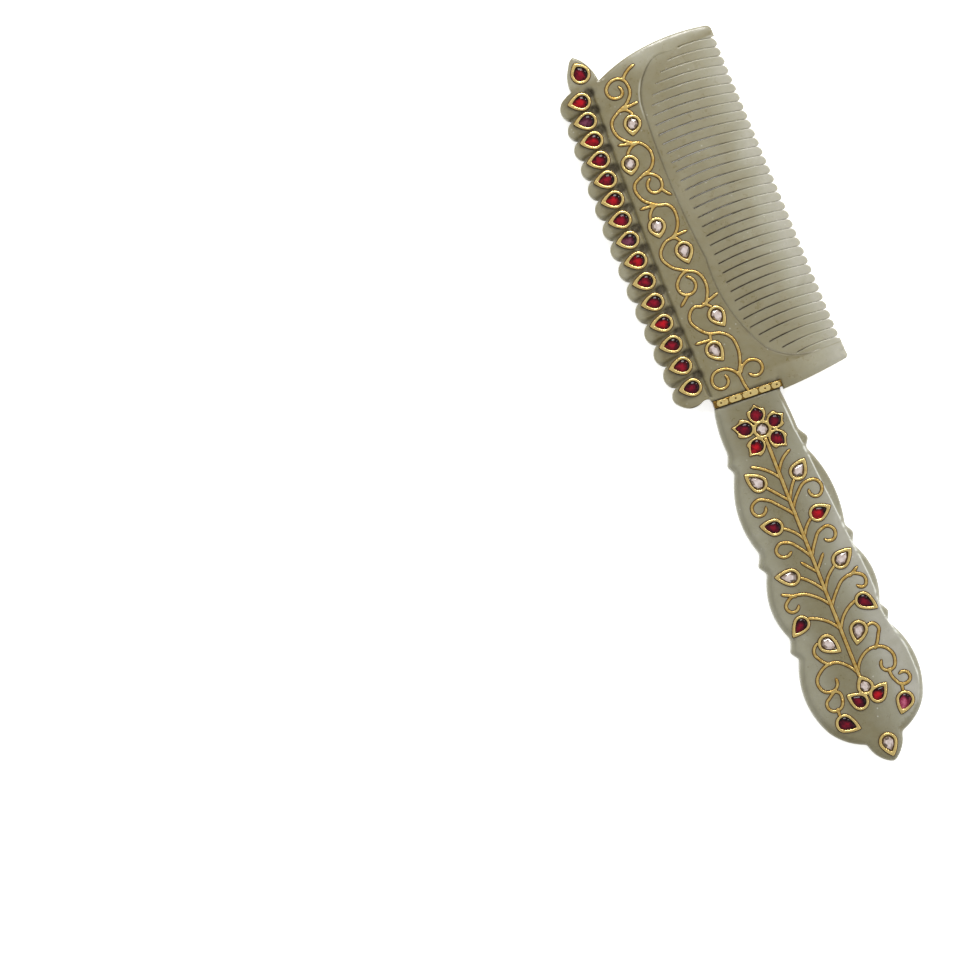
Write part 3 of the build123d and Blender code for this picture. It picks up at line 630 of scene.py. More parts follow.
def nephrite(name, tones):
    material, tree, shader = surface(name)
    place = add(tree, "TexCoord").outputs["Object"]
    big = add(
        tree, "TexNoise",
        {"Vector": place, "Scale": 1 / (JADE_CLOUD * MM), "Detail": 4.0, "Roughness": 0.6, "Distortion": 0.8},
    )
    cloud = add(
        tree, "MapRange",
        {"Value": big.outputs["Fac"], "From Min": 0.3, "From Max": 0.7, "To Min": -0.15, "To Max": 0.17},
    )
    # Painted light: paler where light shows through thin stone, and on the lit right of the handle.
    thin = add(tree, "Attribute", attribute_name="painted_light")
    level = add(tree, "Math", {0: thin.outputs["Fac"], 1: cloud.outputs[0]}, operation="ADD")
    colour = add(tree, "ValToRGB", {"Fac": level.outputs[0]}, tones).outputs["Color"]
    small = add(
        tree, "TexNoise",
        {"Vector": place, "Scale": 1 / (JADE_MOTTLE * MM), "Detail": 5.0, "Roughness": 0.65},
    )
    mottle = add(
        tree, "MapRange",
        {"Value": small.outputs["Fac"], "From Min": 0.3, "From Max": 0.7, "To Min": 0.0, "To Max": 0.3},
    )
    colour = add(
        tree, "Mix",
        {0: mottle.outputs[0], 6: colour, 7: linear(MOTTLE_TINT)},
        data_type="RGBA",
    ).outputs[2]
    grains = add(
        tree, "TexVoronoi",
        {"Vector": place, "Scale": 1 / (JADE_FLECK * FLECK_SPACING * MM), "Randomness": 1.0},
        feature="F1",
    )
    fleck = add(
        tree, "MapRange",
        {
            "Value": grains.outputs["Distance"], "From Min": 0.06, "From Max": 0.13,
            "To Min": 0.5, "To Max": 0.0,
        },
    )
    patch = add(
        tree, "MapRange",
        {"Value": big.outputs["Fac"], "From Min": 0.5, "From Max": 0.62, "To Min": 0.0, "To Max": 1.0},
    )
    both = add(tree, "Math", {0: fleck.outputs[0], 1: patch.outputs[0]}, operation="MULTIPLY")
    colour = add(
        tree, "Mix", {0: both.outputs[0], 6: colour, 7: linear(FLECK_TINT)}, data_type="RGBA"
    ).outputs[2]
    # This mark paints real dirt in the pits and painted shade in the creases, the groove, the cuts between
    # petals, below the petals and along the saw cuts, all in one dark brown.
    low = add(tree, "Attribute", attribute_name="dirt_and_shade")
    uneven_dirt_and_shade = add(
        tree, "MapRange",
        {"Value": small.outputs["Fac"], "From Min": 0.3, "From Max": 0.7, "To Min": 1.1, "To Max": 0.7},
    )
    grime_and_shade = add(
        tree, "Math", {0: low.outputs["Fac"], 1: uneven_dirt_and_shade.outputs[0]}, operation="MULTIPLY", use_clamp=True
    )
    colour = add(
        tree, "Mix", {0: grime_and_shade.outputs[0], 6: colour, 7: linear(DIRT_AND_SHADE_TINT)}, data_type="RGBA"
    ).outputs[2]
    # A painted highlight: near white along the bevel's ridge and the arch's lip.
    crisp = add(tree, "Attribute", attribute_name="painted_ridge_highlight")
    painted_glint = add(tree, "Math", {0: crisp.outputs["Fac"], 1: 0.85}, operation="MULTIPLY")
    colour = add(
        tree, "Mix", {0: painted_glint.outputs[0], 6: colour, 7: linear(RIDGE_HIGHLIGHT_TINT)}, data_type="RGBA"
    ).outputs[2]
    polish = add(
        tree, "MapRange",
        {"Value": small.outputs["Fac"], "From Min": 0.3, "From Max": 0.7, "To Min": 0.24, "To Max": 0.4},
    )
    waves = add(tree, "TexNoise", {"Vector": place, "Scale": 1 / (POLISH_WAVE * MM), "Detail": 3.0})
    relief = add(
        tree, "Bump",
        {"Height": waves.outputs["Fac"], "Strength": 0.35, "Distance": POLISH_WAVE_DEPTH * MM},
    )
    dull = add(tree, "Math", {0: grime_and_shade.outputs[0], 1: 0.6}, operation="MULTIPLY")
    rough = add(tree, "Math", {0: polish.outputs[0], 1: dull.outputs[0]}, operation="ADD", use_clamp=True)
    bare = add(tree, "Math", {0: 1.0, 1: grime_and_shade.outputs[0]}, operation="SUBTRACT")
    clean = add(tree, "Math", {0: bare.outputs[0], 1: 0.15}, operation="MULTIPLY")
    tree.links.new(colour, shader.inputs["Base Color"])
    tree.links.new(rough.outputs[0], shader.inputs["Roughness"])
    tree.links.new(clean.outputs[0], shader.inputs["Coat Weight"])
    tree.links.new(relief.outputs[0], shader.inputs["Normal"])
    shader.inputs["IOR"].default_value = 1.61
    shader.inputs["Subsurface Weight"].default_value = 0.35
    shader.inputs["Subsurface Radius"].default_value = (1.0, 1.0, 0.75)
    shader.inputs["Subsurface Scale"].default_value = 2.0 * MM
    shader.inputs["Coat Roughness"].default_value = 0.1
    return material


BLADE_TONES = ((0.0, "7E734D"), (0.25, "8A8162"), (0.5, "989176"), (0.75, "A7A28C"), (1.0, "B8B4A4"))
blade.data.materials.append(nephrite("polished_nephrite_blade", BLADE_TONES))
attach(blade, "root")
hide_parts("blade")

# ---- Handle ------------------------------------------------------------------------------------------
# The grip: a second slab of the same jade, cut to three swelling lobes a side with a small pointed bract
# at each waist and a bud at the end. Its face is flat, softly eased on the left, and on the right a broad
# ground bevel meets it in a crisp ridge. A hidden pin holds it to the blade under the gold band.
SOFT_WIDTH = 2.2
SOFT_DROP = 0.8
BEVEL_DROP = 1.25
HANDLE_ROUNDING = 0.8
WEAR_PASSES = 5
WEAR_MARGIN = 14
RIDGE = (
    (8.8, -2.4), (9.3, -14.1), (10.1, -20.0), (10.6, -25.1), (11.2, -32.0), (11.9, -38.7),
    (12.4, -44.7), (12.7, -49.2), (13.2, -53.3), (13.8, -58.0), (14.3, -63.8), (14.4, -67.7),
    (14.2, -70.4), (13.95, -74.7), (14.3, -77.0), (15.1, -80.1), (16.1, -83.8), (16.9, -88.2),
    (17.2, -92.8), (17.15, -96.9), (16.4, -100.5), (14.4, -104.0), (11.2, -106.9), (6.0, -109.6),
)


def worn(points, passes, margin):
    """The same outline with its corners rubbed round, but for a few points at each end."""
    line = np.array(points)
    for _ in range(passes):
        before, here, after = (line[margin + k:len(line) - margin + k] for k in (-1, 0, 1))
        line[margin:-margin] = (before + 2 * here + after) / 4
    return [tuple(p) for p in line]


def handle_plan():
    """The outline of the handle: down the right side, round the end bud and up the left side."""
    outline = run(
        (NECK_RIGHT, NECK_SLOPE * NECK_RIGHT),
        (NECK_RIGHT, -BAND_HALF - 0.53),
        (9.95, -BAND_HALF - 0.55),
        (9.75, -2.6),
        ((10.4, -9.0), (10.6, -15.2)),
        ((11.7, -16.8), (12.6, -18.3)),
        ((11.8, -19.7), (10.7, -21.0)),
        ((14.4, -37.0), (13.2, -47.2)),
        ((14.15, -48.6), (14.9, -50.0)),
        ((14.2, -51.5), (13.2, -53.1)),
        ((16.3, -64.5), (14.3, -72.9)),
        ((15.3, -74.3), (16.15, -75.7)),
        ((15.5, -77.2), (14.6, -78.7)),
        ((18.7, -94.7), (16.1, -104.0)),
        ((12.0, -108.4), (6.7, -111.1)),
        ((5.1, -115.2), (1.4, -118.7)),
        ((-3.3, -114.9), (-4.6, -111.2)),
        ((-9.8, -108.4), (-13.9, -104.0)),
        ((-17.05, -92.4), (-14.2, -79.9)),
        ((-15.4, -78.4), (-16.3, -77.2)),
        ((-15.35, -75.7), (-14.6, -73.2)),
        ((-16.8, -64.4), (-13.9, -52.6)),
        ((-15.0, -50.9), (-15.9, -49.7)),
        ((-14.8, -48.2), (-13.9, -46.0)),
        ((-15.75, -37.0), (-12.1, -20.9)),
        ((-12.9, -19.3), (-13.6, -18.3)),
        ((-12.65, -16.7), (-11.9, -14.6)),
        ((-12.05, -9.0), (-11.3, -2.6)),
        (-10.65, -BAND_HALF + 0.5),
        (NECK_LEFT, -BAND_HALF + 0.5),
        (NECK_LEFT, NECK_SLOPE * NECK_LEFT),
        step=0.4,
    )[:-1]
    return worn(outline, WEAR_PASSES, WEAR_MARGIN)


def ridge_x(y):
    """Where the crisp ridge of the right-hand bevel runs."""
    line = np.array(RIDGE)[::-1]
    return np.interp(y, line[:, 1], line[:, 0])


def handle_heights(x, y, d):
    """The two faces of the handle, and its marks: a dark joint line and painted shade, painted light, and a
    painted highlight along the ridge.
    """
    beyond = x - ridge_x(y)
    right = smooth(3, 8, x)
    crisp = np.clip(beyond, 0, None) / (np.clip(beyond, 0, None) + d + 1e-6)
    soft = np.clip(1 - d / SOFT_WIDTH, 0, 1) ** 1.5
    near_band = 1 - smooth(-3.6, -1.5, y)
    top = JADE_TOP - (BEVEL_DROP * crisp * right + SOFT_DROP * soft * (1 - right)) * near_band
    # A painted highlight along the crisp ridge of the right-hand bevel.
    painted_glint = np.exp(-((beyond / 0.14) ** 2)) * smooth(-2.6, -6.0, y) * smooth(-103.0, -96.0, y)
    bottom = 0.0 * x
    seat = np.abs(y - NECK_SLOPE * x) < BAND_HALF
    top = np.where(seat, BAND_SEAT_TOP, top)
    bottom = np.where(seat, BAND_SEAT_LOW, bottom)
    # Painted light: paler towards the right, where the lamps light the face, painted darker on the bevel past
    # the ridge, and paler towards the left edge.
    from_right = smooth(-1, 12, x) * np.interp(y, (-60, -30, -4), (0.85, 0.65, 0.35))
    from_right = from_right - 0.45 * smooth(-0.1, 0.5, beyond)
    from_left = 0.5 * smooth(-4, -13, x) * smooth(-106, -98, y)
    painted_light = np.maximum(from_right, from_left)
    from_band = np.abs(y - NECK_SLOPE * x + BAND_HALF)
    # Painted shade at the foot of the soft bevel on the left.
    eased_shade = 0.22 * np.exp(-(((d - 1.3) / 0.45) ** 2)) * smooth(-6, -9, x) * near_band
    dirt_and_shade = np.maximum(JOINT_STAIN * smooth(0.6, 0.2, from_band), eased_shade)
    return pocketed(x, y, top), bottom, {"dirt_and_shade": dirt_and_shade, "painted_light": painted_light, "painted_ridge_highlight": painted_glint}


def handle_rounding(x, y):
    return np.full(len(x), HANDLE_ROUNDING)


def handle_spots():
    """Free points: even over the face, and close together on each side of the ridge."""
    spots = grid(-18.0, 19.5, -119.0, -1.0, 0.9)
    for y in np.arange(-104.0, -2.5, 0.45):
        spots += [(float(ridge_x(y)) + d, y) for d in (-0.7, -0.32, -0.16, 0.0, 0.16, 0.32, 0.7)]
    return spots


handle = carved(
    "jade_handle",
    handle_plan(),
    (0.07, 0.2, 0.42, 0.8, 1.35),
    handle_spots(),
    pocket_lines(-120, 0) + neck_lines(-9.9, 10.1, -1),
    handle_heights,
    handle_rounding,
)
HANDLE_TONES = ((0.0, "7B7250"), (0.25, "878168"), (0.5, "96927C"), (0.75, "A5A292"), (1.0, "B6B3A7"))
handle.data.materials.append(nephrite("polished_nephrite_handle", HANDLE_TONES))
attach(handle, "root")
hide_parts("handle")

# ---- Tang pin ----------------------------------------------------------------------------------------
# A short forged iron pin, cemented into a hole in each half of the jade, which holds the blade on the
# handle. It is out of sight inside the neck.
PIN_SCALE = 0.8

# Forged iron: dark grey and dull, with a patchy brown scale left by the fire.
pin_metal, tree, shader = surface("forged_iron")
place = add(tree, "TexCoord").outputs["Object"]
scale = add(tree, "TexNoise", {"Vector": place, "Scale": 1 / (PIN_SCALE * MM), "Detail": 4.0})
tint = add(tree, "ValToRGB", {"Fac": scale.outputs["Fac"]}, ((0.3, "3B3835"), (0.7, "5F5954")))
dull = add(tree, "MapRange", {"Value": scale.outputs["Fac"], "To Min": 0.4, "To Max": 0.7})
tree.links.new(tint.outputs["Color"], shader.inputs["Base Color"])
tree.links.new(dull.outputs[0], shader.inputs["Roughness"])
shader.inputs["Metallic"].default_value = 1.0
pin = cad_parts["tang_pin"]
pin.data.materials.clear()
pin.data.materials.append(pin_metal)

# ---- Gold wire scrolls and rims ----------------------------------------------------------------------
# Fine gold laid in cut channels and pressed down round each stone, then rubbed smooth by hand, so its
# edges are round and a little uneven. Every node of the gold inlay is softened in the same way.
GOLD_SOFTEN = 4
GOLD_WEAR = 1.6
GOLD_DENT = 0.7
GOLD_DENT_DEPTH = 0.12

# The finest detail that each node of the inlay keeps.
WIRE_DETAIL = 0.12
RIM_DETAIL = 0.15
WIRES = ("head_vine", "handle_stem", "handle_branches_left", "handle_branches_right")
RIMS = ("spine_collets", "head_leaf_collets", "flower_collet", "handle_leaf_collets")
GOLD_NODES = dict.fromkeys(WIRES, WIRE_DETAIL) | dict.fromkeys(RIMS, RIM_DETAIL)


def softened(node, name, voxel, passes, thin):
    """A copy of a CAD node's shape with worn, rounded edges."""
    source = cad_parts[node]
    mesh = source.data.copy()
    work = bpy.data.objects.new(name + "_work", mesh)
    bpy.context.scene.collection.objects.link(work)
    remesh = work.modifiers.new("remesh", "REMESH")
    remesh.mode = "VOXEL"
    remesh.voxel_size = voxel * MM
    relax = work.modifiers.new("relax", "SMOOTH")
    relax.factor = 0.5
    relax.iterations = passes
    lean = work.modifiers.new("lean", "DECIMATE")
    lean.ratio = thin
    graph = bpy.context.evaluated_depsgraph_get()
    made = bpy.data.meshes.new_from_object(work.evaluated_get(graph))
    bpy.data.objects.remove(work)
    made.name = name
    made.materials.clear()
    made.polygons.foreach_set("use_smooth", [True] * len(made.polygons))
    piece = bpy.data.objects.new(name, made)
    bpy.context.scene.collection.objects.link(piece)
    return piece


# Fine gold, burnished by hand: a warm yellow metal, painted by height with a highlight along its raised
# ridges and darker, redder painted shade where it is low, and small dents from the tool.
def fine_gold(name, low_z, high_z, tones):
    material, tree, shader = surface(name)
    place = add(tree, "TexCoord").outputs["Object"]
    height = add(tree, "SeparateXYZ", {"Vector": place})
    # Painted shade low down and a painted highlight on top, by height.
    shade_to_highlight = add(
        tree, "MapRange",
        {
            "Value": height.outputs["Z"], "From Min": low_z * MM, "From Max": high_z * MM,
            "To Min": 0.0, "To Max": 1.0,
        },
    )
    wear = add(
        tree, "TexNoise",
        {"Vector": place, "Scale": 1 / (GOLD_WEAR * MM), "Detail": 4.0, "Roughness": 0.6},
    )
    shift = add(
        tree, "MapRange",
        {"Value": wear.outputs["Fac"], "From Min": 0.3, "From Max": 0.7, "To Min": -0.15, "To Max": 0.15},
    )
    level = add(
        tree, "Math", {0: shade_to_highlight.outputs[0], 1: shift.outputs[0]}, operation="ADD", use_clamp=True
    )
    tone = add(tree, "ValToRGB", {"Fac": level.outputs[0]}, tones)
    gloss = add(tree, "MapRange", {"Value": level.outputs[0], "To Min": 0.5, "To Max": 0.25})
    dents = add(tree, "TexNoise", {"Vector": place, "Scale": 1 / (GOLD_DENT * MM), "Detail": 3.0})
    hammered = add(
        tree, "Bump",
        {"Height": dents.outputs["Fac"], "Strength": 0.5, "Distance": GOLD_DENT_DEPTH * MM},
    )
    tree.links.new(tone.outputs["Color"], shader.inputs["Base Color"])
    tree.links.new(gloss.outputs[0], shader.inputs["Roughness"])
    tree.links.new(hammered.outputs[0], shader.inputs["Normal"])
    shader.inputs["Metallic"].default_value = 1.0
    return material


BRIGHT_GOLD = ((0.0, "2E1D06"), (0.38, "6E4A14"), (0.72, "BC9140"), (1.0, "EBCF86"))
gold_finish = fine_gold("burnished_fine_gold", JADE_TOP, JADE_TOP + 0.5, BRIGHT_GOLD)

for node, voxel in GOLD_NODES.items():
    piece = softened(node, "gold_" + node, voxel, GOLD_SOFTEN, 0.5)
    piece.data.materials.append(gold_finish)
    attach(piece, "root")
    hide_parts(node)

# ---- Lac seams ---------------------------------------------------------------------------------------
# Warm lac, a resin, is pressed into the cut channels and under the stones, and the gold is bedded in it. It
# shows as a thin dark line where gold and jade meet, which also stands in for the shade beside the gold:
# partly real lac and partly painted shade.
SEAM_WIDTH = 0.24
SEAM_TOP = JADE_TOP + 0.03
SEAM_DETAIL = 0.17
SEAM_SOFTEN = 3
LAC_CLOUD = 1.2

# Dark shellac: a brown resin, dull where it is scraped flush, that runs from black-brown to amber.
seam_finish, tree, shader = surface("dark_shellac")
place = add(tree, "TexCoord").outputs["Object"]
dirt = add(tree, "TexNoise", {"Vector": place, "Scale": 1 / (LAC_CLOUD * MM), "Detail": 4.0})
brown = add(tree, "ValToRGB", {"Fac": dirt.outputs["Fac"]}, ((0.3, "33220A"), (0.7, "6B4C16")))
matt = add(tree, "MapRange", {"Value": dirt.outputs["Fac"], "To Min": 0.55, "To Max": 0.85})
tree.links.new(brown.outputs["Color"], shader.inputs["Base Color"])
tree.links.new(matt.outputs[0], shader.inputs["Roughness"])

# A dark skirt round each gold node: lac, and painted shade along the gold's edges.
for node in GOLD_NODES:
    seam = softened(node, "lac_and_shade_seam_" + node, SEAM_DETAIL, SEAM_SOFTEN, 0.4)
    mesh = seam.data
    count = len(mesh.vertices)
    corners = np.zeros(count * 3)
    mesh.vertices.foreach_get("co", corners)
    outward = np.array([tuple(v.normal) for v in mesh.vertices])
    corners = corners.reshape(-1, 3) / MM
    corners[:, :2] += outward[:, :2] * SEAM_WIDTH
    corners[:, 2] = np.minimum(corners[:, 2], SEAM_TOP)
    mesh.vertices.foreach_set("co", (corners * MM).ravel())
    mesh.update()
    mesh.materials.append(seam_finish)
    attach(seam, "root")

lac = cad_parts["lac_beds"]
lac.data.materials.clear()
lac.data.materials.append(seam_finish)

# ---- Collar band and plates --------------------------------------------------------------------------
# A strip of gold wrapped round the neck over the joint, with five clipped-corner plates soldered on its
# front face. Each plate is pierced by a small eye.

# The band is a darker copy of the same fine gold, painted shade, so that the gaps between the plates look
# dark.
SHADED_GOLD = ((0.0, "5A431E"), (0.55, "6A5228"), (0.8, "5A421C"), (1.0, "8A6A30"))
band_finish = fine_gold("shaded_fine_gold", 0.0, JADE_TOP + 0.4, SHADED_GOLD)

# The plates carry a painted highlight on their raised faces, brighter than the wires, and painted shade,
# nearly black, in their eyes.
PLATE_GOLD = ((0.0, "20150A"), (0.4, "6E5020"), (0.75, "D6B060"), (1.0, "F4DA92"))
plate_finish = fine_gold("highlighted_gold_plate", JADE_TOP + 0.2, JADE_TOP + 0.62, PLATE_GOLD)
for node, voxel, passes, finish in (
    ("collar_band", 0.1, 4, band_finish),
    ("collar_plates", 0.05, 1, plate_finish),
):
    piece = softened(node, "gold_" + node, voxel, passes, 0.7)
    piece.data.materials.append(finish)
    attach(piece, "root")
    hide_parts(node)

# ---- Foil backings -----------------------------------------------------------------------------------
# Thin silver foil, laid on the lac behind each stone to throw light back through it. The stone presses it
# into place.
FOIL_CREASE = 0.9

# Crumpled silver foil: a bright white metal, broken by fine creases into small mirrors.
foil_finish, tree, shader = surface("crumpled_silver_foil")
place = add(tree, "TexCoord").outputs["Object"]
creases = add(tree, "TexVoronoi", {"Vector": place, "Scale": 1 / (FOIL_CREASE * MM)}, feature="F1")
bright = add(tree, "ValToRGB", {"Fac": creases.outputs["Distance"]}, ((0.0, "F2EFEA"), (1.0, "BDB8B0")))
folded = add(tree, "Bump", {"Height": creases.outputs["Distance"], "Strength": 0.8, "Distance": 0.2 * MM})
tree.links.new(bright.outputs["Color"], shader.inputs["Base Color"])
tree.links.new(folded.outputs[0], shader.inputs["Normal"])
shader.inputs["Metallic"].default_value = 1.0
shader.inputs["Roughness"].default_value = 0.2
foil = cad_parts["foil_backings"]
foil.data.materials.clear()
foil.data.materials.append(foil_finish)

# ---- Stones ------------------------------------------------------------------------------------------
# Rubies are polished as low domes. Diamonds are flat cuts: a broad uneven table with narrow facets round
# it. Each is its own stone, cut to fill its gold rim, so its outline is the rim's.
STONE_BASE = 5.72
RUBY_EDGE = 6.35
RUBY_RISE = 0.5
DIAMOND_EDGE = 6.05
DIAMOND_RISE = 0.42
FAR_SIDE = (-0.74, -0.67)
RUBY_GATHER = 0.22
RUBY_ROUND = 40
RUBY_CLOUD = 1.3
DIAMOND_SIDES = 7
DIAMOND_CLOUD = 0.9
FACET_WANDER = 0.15
TABLE_GLOW = 0.85


def even(loop, count):
    """The same closed outline with evenly spaced points."""
    points = np.array(loop + loop[:1])
    lengths = np.concatenate([[0], np.cumsum(np.hypot(*np.diff(points, axis=0).T))])
    places = np.linspace(0, lengths[-1], count, endpoint=False)
    return np.column_stack([np.interp(places, lengths, points[:, k]) for k in (0, 1)])


def stone_piece(name, rings, smooth_top):
    """A closed stone from rings of points, with its middle height given by the last ring."""
    verts = np.concatenate(rings)
    count = len(rings[0])
    faces = [tuple(range(count))[::-1]]
    for level in range(len(rings) - 1):
        for k in range(count):
            a = level * count + k
            b = level * count + (k + 1) % count
            faces.append((a, b, b + count, a + count))
    last = (len(rings) - 1) * count
    faces.append(tuple(range(last, last + count)))
    mesh = bpy.data.meshes.new(name)
    places = verts + np.array([NECK_X, NECK_Y, 0])
    mesh.from_pydata([tuple(v) for v in places * MM], [], faces)
    mesh.polygons.foreach_set("use_smooth", [smooth_top] * len(mesh.polygons))
    piece = bpy.data.objects.new(name, mesh)
    bpy.context.scene.collection.objects.link(piece)
    return piece


def shade_attribute(mesh, values, domain):
    """How brightly the foil lights each part of a stone, for its colour: 0 at the rim, 1 where most."""
    glow = mesh.attributes.new("glow", "FLOAT", domain)
    glow.data.foreach_set("value", values)


def ruby_dome(name, node):
    """The far side of the dome from the lamp is the brighter, as light gathers there."""
    outline = even(stone_plan(node), RUBY_ROUND)
    middle = outline.mean(axis=0)
    rings = [np.column_stack([outline, np.full(RUBY_ROUND, STONE_BASE)])]
    values = [0.0] * RUBY_ROUND
    for share in (1.0, 0.97, 0.9, 0.8, 0.68, 0.54, 0.4, 0.26, 0.13, 0.04):
        plan = middle + (outline - middle) * share
        lift = RUBY_EDGE + RUBY_RISE * (1 - share**2.2) ** 0.7
        rings.append(np.column_stack([plan, np.full(RUBY_ROUND, lift)]))
        away = (plan - middle) @ np.array(FAR_SIDE)
        values += list(np.clip(1 - share + RUBY_GATHER * away, 0, 1))
    piece = stone_piece(name, rings, True)
    shade_attribute(piece.data, values, "POINT")
    return piece


def diamond_cut(name, node, seed):
    """A low stone with one broad table and two rings of narrow, uneven facets round it."""
    rng = random.Random(seed)
    sides = DIAMOND_SIDES
    outline = even(stone_plan(node), sides)
    middle = outline.mean(axis=0)
    rings = [np.column_stack([outline, np.full(sides, STONE_BASE)])]
    rings.append(np.column_stack([outline, np.full(sides, DIAMOND_EDGE)]))
    for share, lift in ((0.78, 0.62), (0.5, 1.0)):
        wander = np.array(
            [[rng.uniform(-FACET_WANDER, FACET_WANDER) for _ in range(2)] for _ in range(sides)]
        )
        plan = middle + (outline - middle) * share + wander
        rings.append(np.column_stack([plan, np.full(sides, DIAMOND_EDGE + DIAMOND_RISE * lift)]))
    piece = stone_piece(name, rings, False)
    # Painted light per facet: dark round the rim, where the rim shades it, and brighter, uneven greys on top.
    values = [0.0] * (1 + sides)
    values += [rng.uniform(0.0, 0.3) for _ in range(sides)]
    values += [rng.uniform(0.2, TABLE_GLOW) for _ in range(sides)]
    shade_attribute(piece.data, values + [TABLE_GLOW], "FACE")
    return piece


# Ruby, a cabochon over foil: deep red that is nearly black under the rim, where light is lost, and
# brighter towards the middle, where the foil sends it back. Inclusions make it uneven.
def ruby_finish(name, dark, mid, bright):
    material, tree, shader = surface(name)
    place = add(tree, "TexCoord").outputs["Object"]
    depth = add(tree, "Attribute", attribute_name="glow")
    cloud = add(
        tree, "TexNoise",
        {"Vector": place, "Scale": 1 / (RUBY_CLOUD * MM), "Detail": 3.0, "Distortion": 1.0},
    )
    uneven = add(
        tree, "MapRange",
        {"Value": cloud.outputs["Fac"], "From Min": 0.3, "From Max": 0.7, "To Min": -0.28, "To Max": 0.28},
    )
    level = add(tree, "Math", {0: depth.outputs["Fac"], 1: uneven.outputs[0]}, operation="ADD")
    colour = add(
        tree, "ValToRGB", {"Fac": level.outputs[0]}, ((0.05, dark), (0.42, mid), (0.9, bright))
    )
    rough = add(tree, "MapRange", {"Value": cloud.outputs["Fac"], "To Min": 0.04, "To Max": 0.14})
    tree.links.new(colour.outputs["Color"], shader.inputs["Base Color"])
    tree.links.new(rough.outputs[0], shader.inputs["Roughness"])
    shader.inputs["IOR"].default_value = 1.76
    shader.inputs["Specular IOR Level"].default_value = 0.1
    return material


# The reds differ from stone to stone. Any ruby that isn't named below is pigeon red.
RUBY_TINTS = {
    "pigeon_red": ruby_finish("cabochon_ruby_bright", "170206", "6E0915", "B4121F"),
    "wine": ruby_finish("cabochon_ruby_wine", "150306", "560A18", "8E1226"),
    "garnet": ruby_finish("cabochon_ruby_deep", "120205", "44071A", "780E22"),
    "plum": ruby_finish("cabochon_ruby_plum", "180A10", "4A1A2A", "784054"),
    "rose": ruby_finish("cabochon_ruby_rose", "260A12", "862640", "BA6079"),
}
PETAL_TINTS = (
    "garnet", "wine", "wine", "pigeon_red", "wine", "wine", "pigeon_red", "plum", "wine", "pigeon_red",
    "wine", "wine", "pigeon_red", "plum", "pigeon_red",
)
STONE_TINTS = {
    "ruby_top_bud": "wine",
    "ruby_flower_petal_1": "wine",
    "ruby_flower_petal_2": "garnet",
    "ruby_flower_petal_4": "wine",
    "ruby_flower_petal_5": "garnet",
    "ruby_handle_left_1": "garnet",
    "ruby_handle_left_2": "garnet",
    "ruby_handle_left_drop": "garnet",
    "ruby_handle_right_2": "garnet",
    "ruby_handle_right_drop": "rose",
    "ruby_root_left": "garnet",
}
for number, tint in enumerate(PETAL_TINTS, 1):
    STONE_TINTS[f"ruby_petal_{number:02d}"] = tint

# Flat-cut diamond over foil: nearly colourless with a faint pink cast, each facet painted a different grey
# in place of light and reflections, and painted dark at the rim, a painted shadow of the rim.
diamond_finish, tree, shader = surface("flat_cut_diamond")
place = add(tree, "TexCoord").outputs["Object"]
facet = add(tree, "Attribute", attribute_name="glow")
cloud = add(tree, "TexNoise", {"Vector": place, "Scale": 1 / (DIAMOND_CLOUD * MM), "Detail": 3.0})
uneven = add(
    tree, "MapRange",
    {"Value": cloud.outputs["Fac"], "From Min": 0.3, "From Max": 0.7, "To Min": -0.15, "To Max": 0.15},
)
level = add(tree, "Math", {0: facet.outputs["Fac"], 1: uneven.outputs[0]}, operation="ADD")
clear = add(
    tree, "ValToRGB", {"Fac": level.outputs[0]},
    ((0.0, "2A1C0E"), (0.3, "6B5645"), (0.6, "AE9A90"), (1.0, "DED0CB")),
)
tree.links.new(clear.outputs["Color"], shader.inputs["Base Color"])
shader.inputs["Roughness"].default_value = 0.06
shader.inputs["IOR"].default_value = 2.42
shader.inputs["Specular IOR Level"].default_value = 0.3

for seed, node in enumerate(sorted(STONES)):
    if node.startswith("ruby"):
        piece = ruby_dome("stone_" + node, node)
        piece.data.materials.append(RUBY_TINTS[STONE_TINTS.get(node, "pigeon_red")])
    else:
        piece = diamond_cut("stone_" + node, node, seed)
        piece.data.materials.append(diamond_finish)
    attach(piece, "root")
    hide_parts(node)

# ---- Floor, light and camera -------------------------------------------------------------------------
# The comb lies on a white board lit from behind, in a bright soft surround with three lamps. The smallest
# lamp makes the points of light in the stones.
FLOOR_SIZE = 12
FLOOR_DROP = 0.02
FLOOR_GLOW = 0.7
BOARD_FIBRE = 2.5
SURROUND_GLOW = 0.62

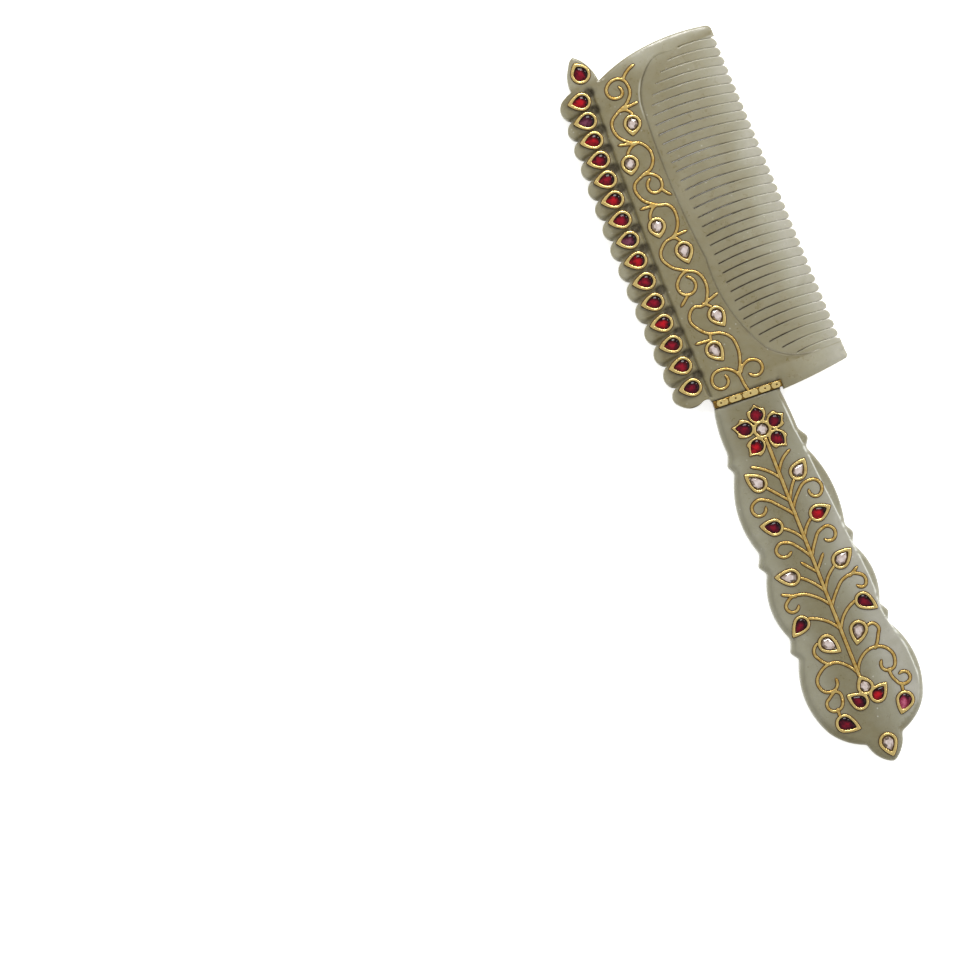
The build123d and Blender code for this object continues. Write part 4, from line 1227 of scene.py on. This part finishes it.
# Matt white board: flat and nearly white, with a faint fibre and no shine.
bpy.ops.mesh.primitive_plane_add(size=FLOOR_SIZE, location=(0, 0, -FLOOR_DROP * MM))
floor = bpy.context.object
floor.name = "studio_floor"
floor_finish, tree, shader = surface("matt_white_board")
place = add(tree, "TexCoord").outputs["Object"]
fibre = add(tree, "TexNoise", {"Vector": place, "Scale": 1 / (BOARD_FIBRE * MM), "Detail": 3.0})
white = add(tree, "ValToRGB", {"Fac": fibre.outputs["Fac"]}, ((0.3, "F4F4F3"), (0.7, "F8F8F7")))
tree.links.new(white.outputs["Color"], shader.inputs["Base Color"])
tree.links.new(white.outputs["Color"], shader.inputs["Emission Color"])
shader.inputs["Emission Strength"].default_value = FLOOR_GLOW
shader.inputs["Roughness"].default_value = 0.9
floor.data.materials.append(floor_finish)

world = bpy.data.worlds.new("soft_surround")
bpy.context.scene.world = world
world.use_nodes = True
world.node_tree.nodes["Background"].inputs["Color"].default_value = linear("F6F7F8")
world.node_tree.nodes["Background"].inputs["Strength"].default_value = SURROUND_GLOW
bpy.context.scene.view_settings.view_transform = "Standard"

for name, place, size, power in (
    ("key_lamp", (0.25, 0.75, 1.0), 0.4, 8.5),
    ("fill_lamp", (0.9, -0.3, 0.8), 0.7, 1.4),
    ("spark_lamp", (0.62, 0.28, 0.8), 0.1, 0.8),
):
    lamp = bpy.data.lights.new(name, "AREA")
    lamp.size = size
    lamp.energy = power
    holder = bpy.data.objects.new(name, lamp)
    holder.location = place
    holder.rotation_euler = (-Vector(place)).to_track_quat("-Z", "Y").to_euler()
    bpy.context.scene.collection.objects.link(holder)

# The camera looks straight down, turned so that the comb leans, and the comb stands right of the middle.
# PICTURE_WIDTH is how much is in view at the top of the jade, in metres.
PICTURE_WIDTH = 0.294
LENS = 200.0
SENSOR = 36.0
TILT = radians(21.3)
VIEW_FROM_NECK = (-82.35, 1.29)
VIEW_X = (NECK_X + VIEW_FROM_NECK[0]) * MM
VIEW_Y = (NECK_Y + VIEW_FROM_NECK[1]) * MM
camera_data = bpy.data.cameras.new("camera")
camera_data.lens = LENS
camera_data.sensor_width = SENSOR
camera_data.clip_start = 0.01
camera = bpy.data.objects.new("camera", camera_data)
camera.location = (VIEW_X, VIEW_Y, JADE_TOP * MM + PICTURE_WIDTH * LENS / SENSOR)
camera.rotation_euler = (0, 0, -TILT)
bpy.context.scene.collection.objects.link(camera)
bpy.context.scene.camera = camera
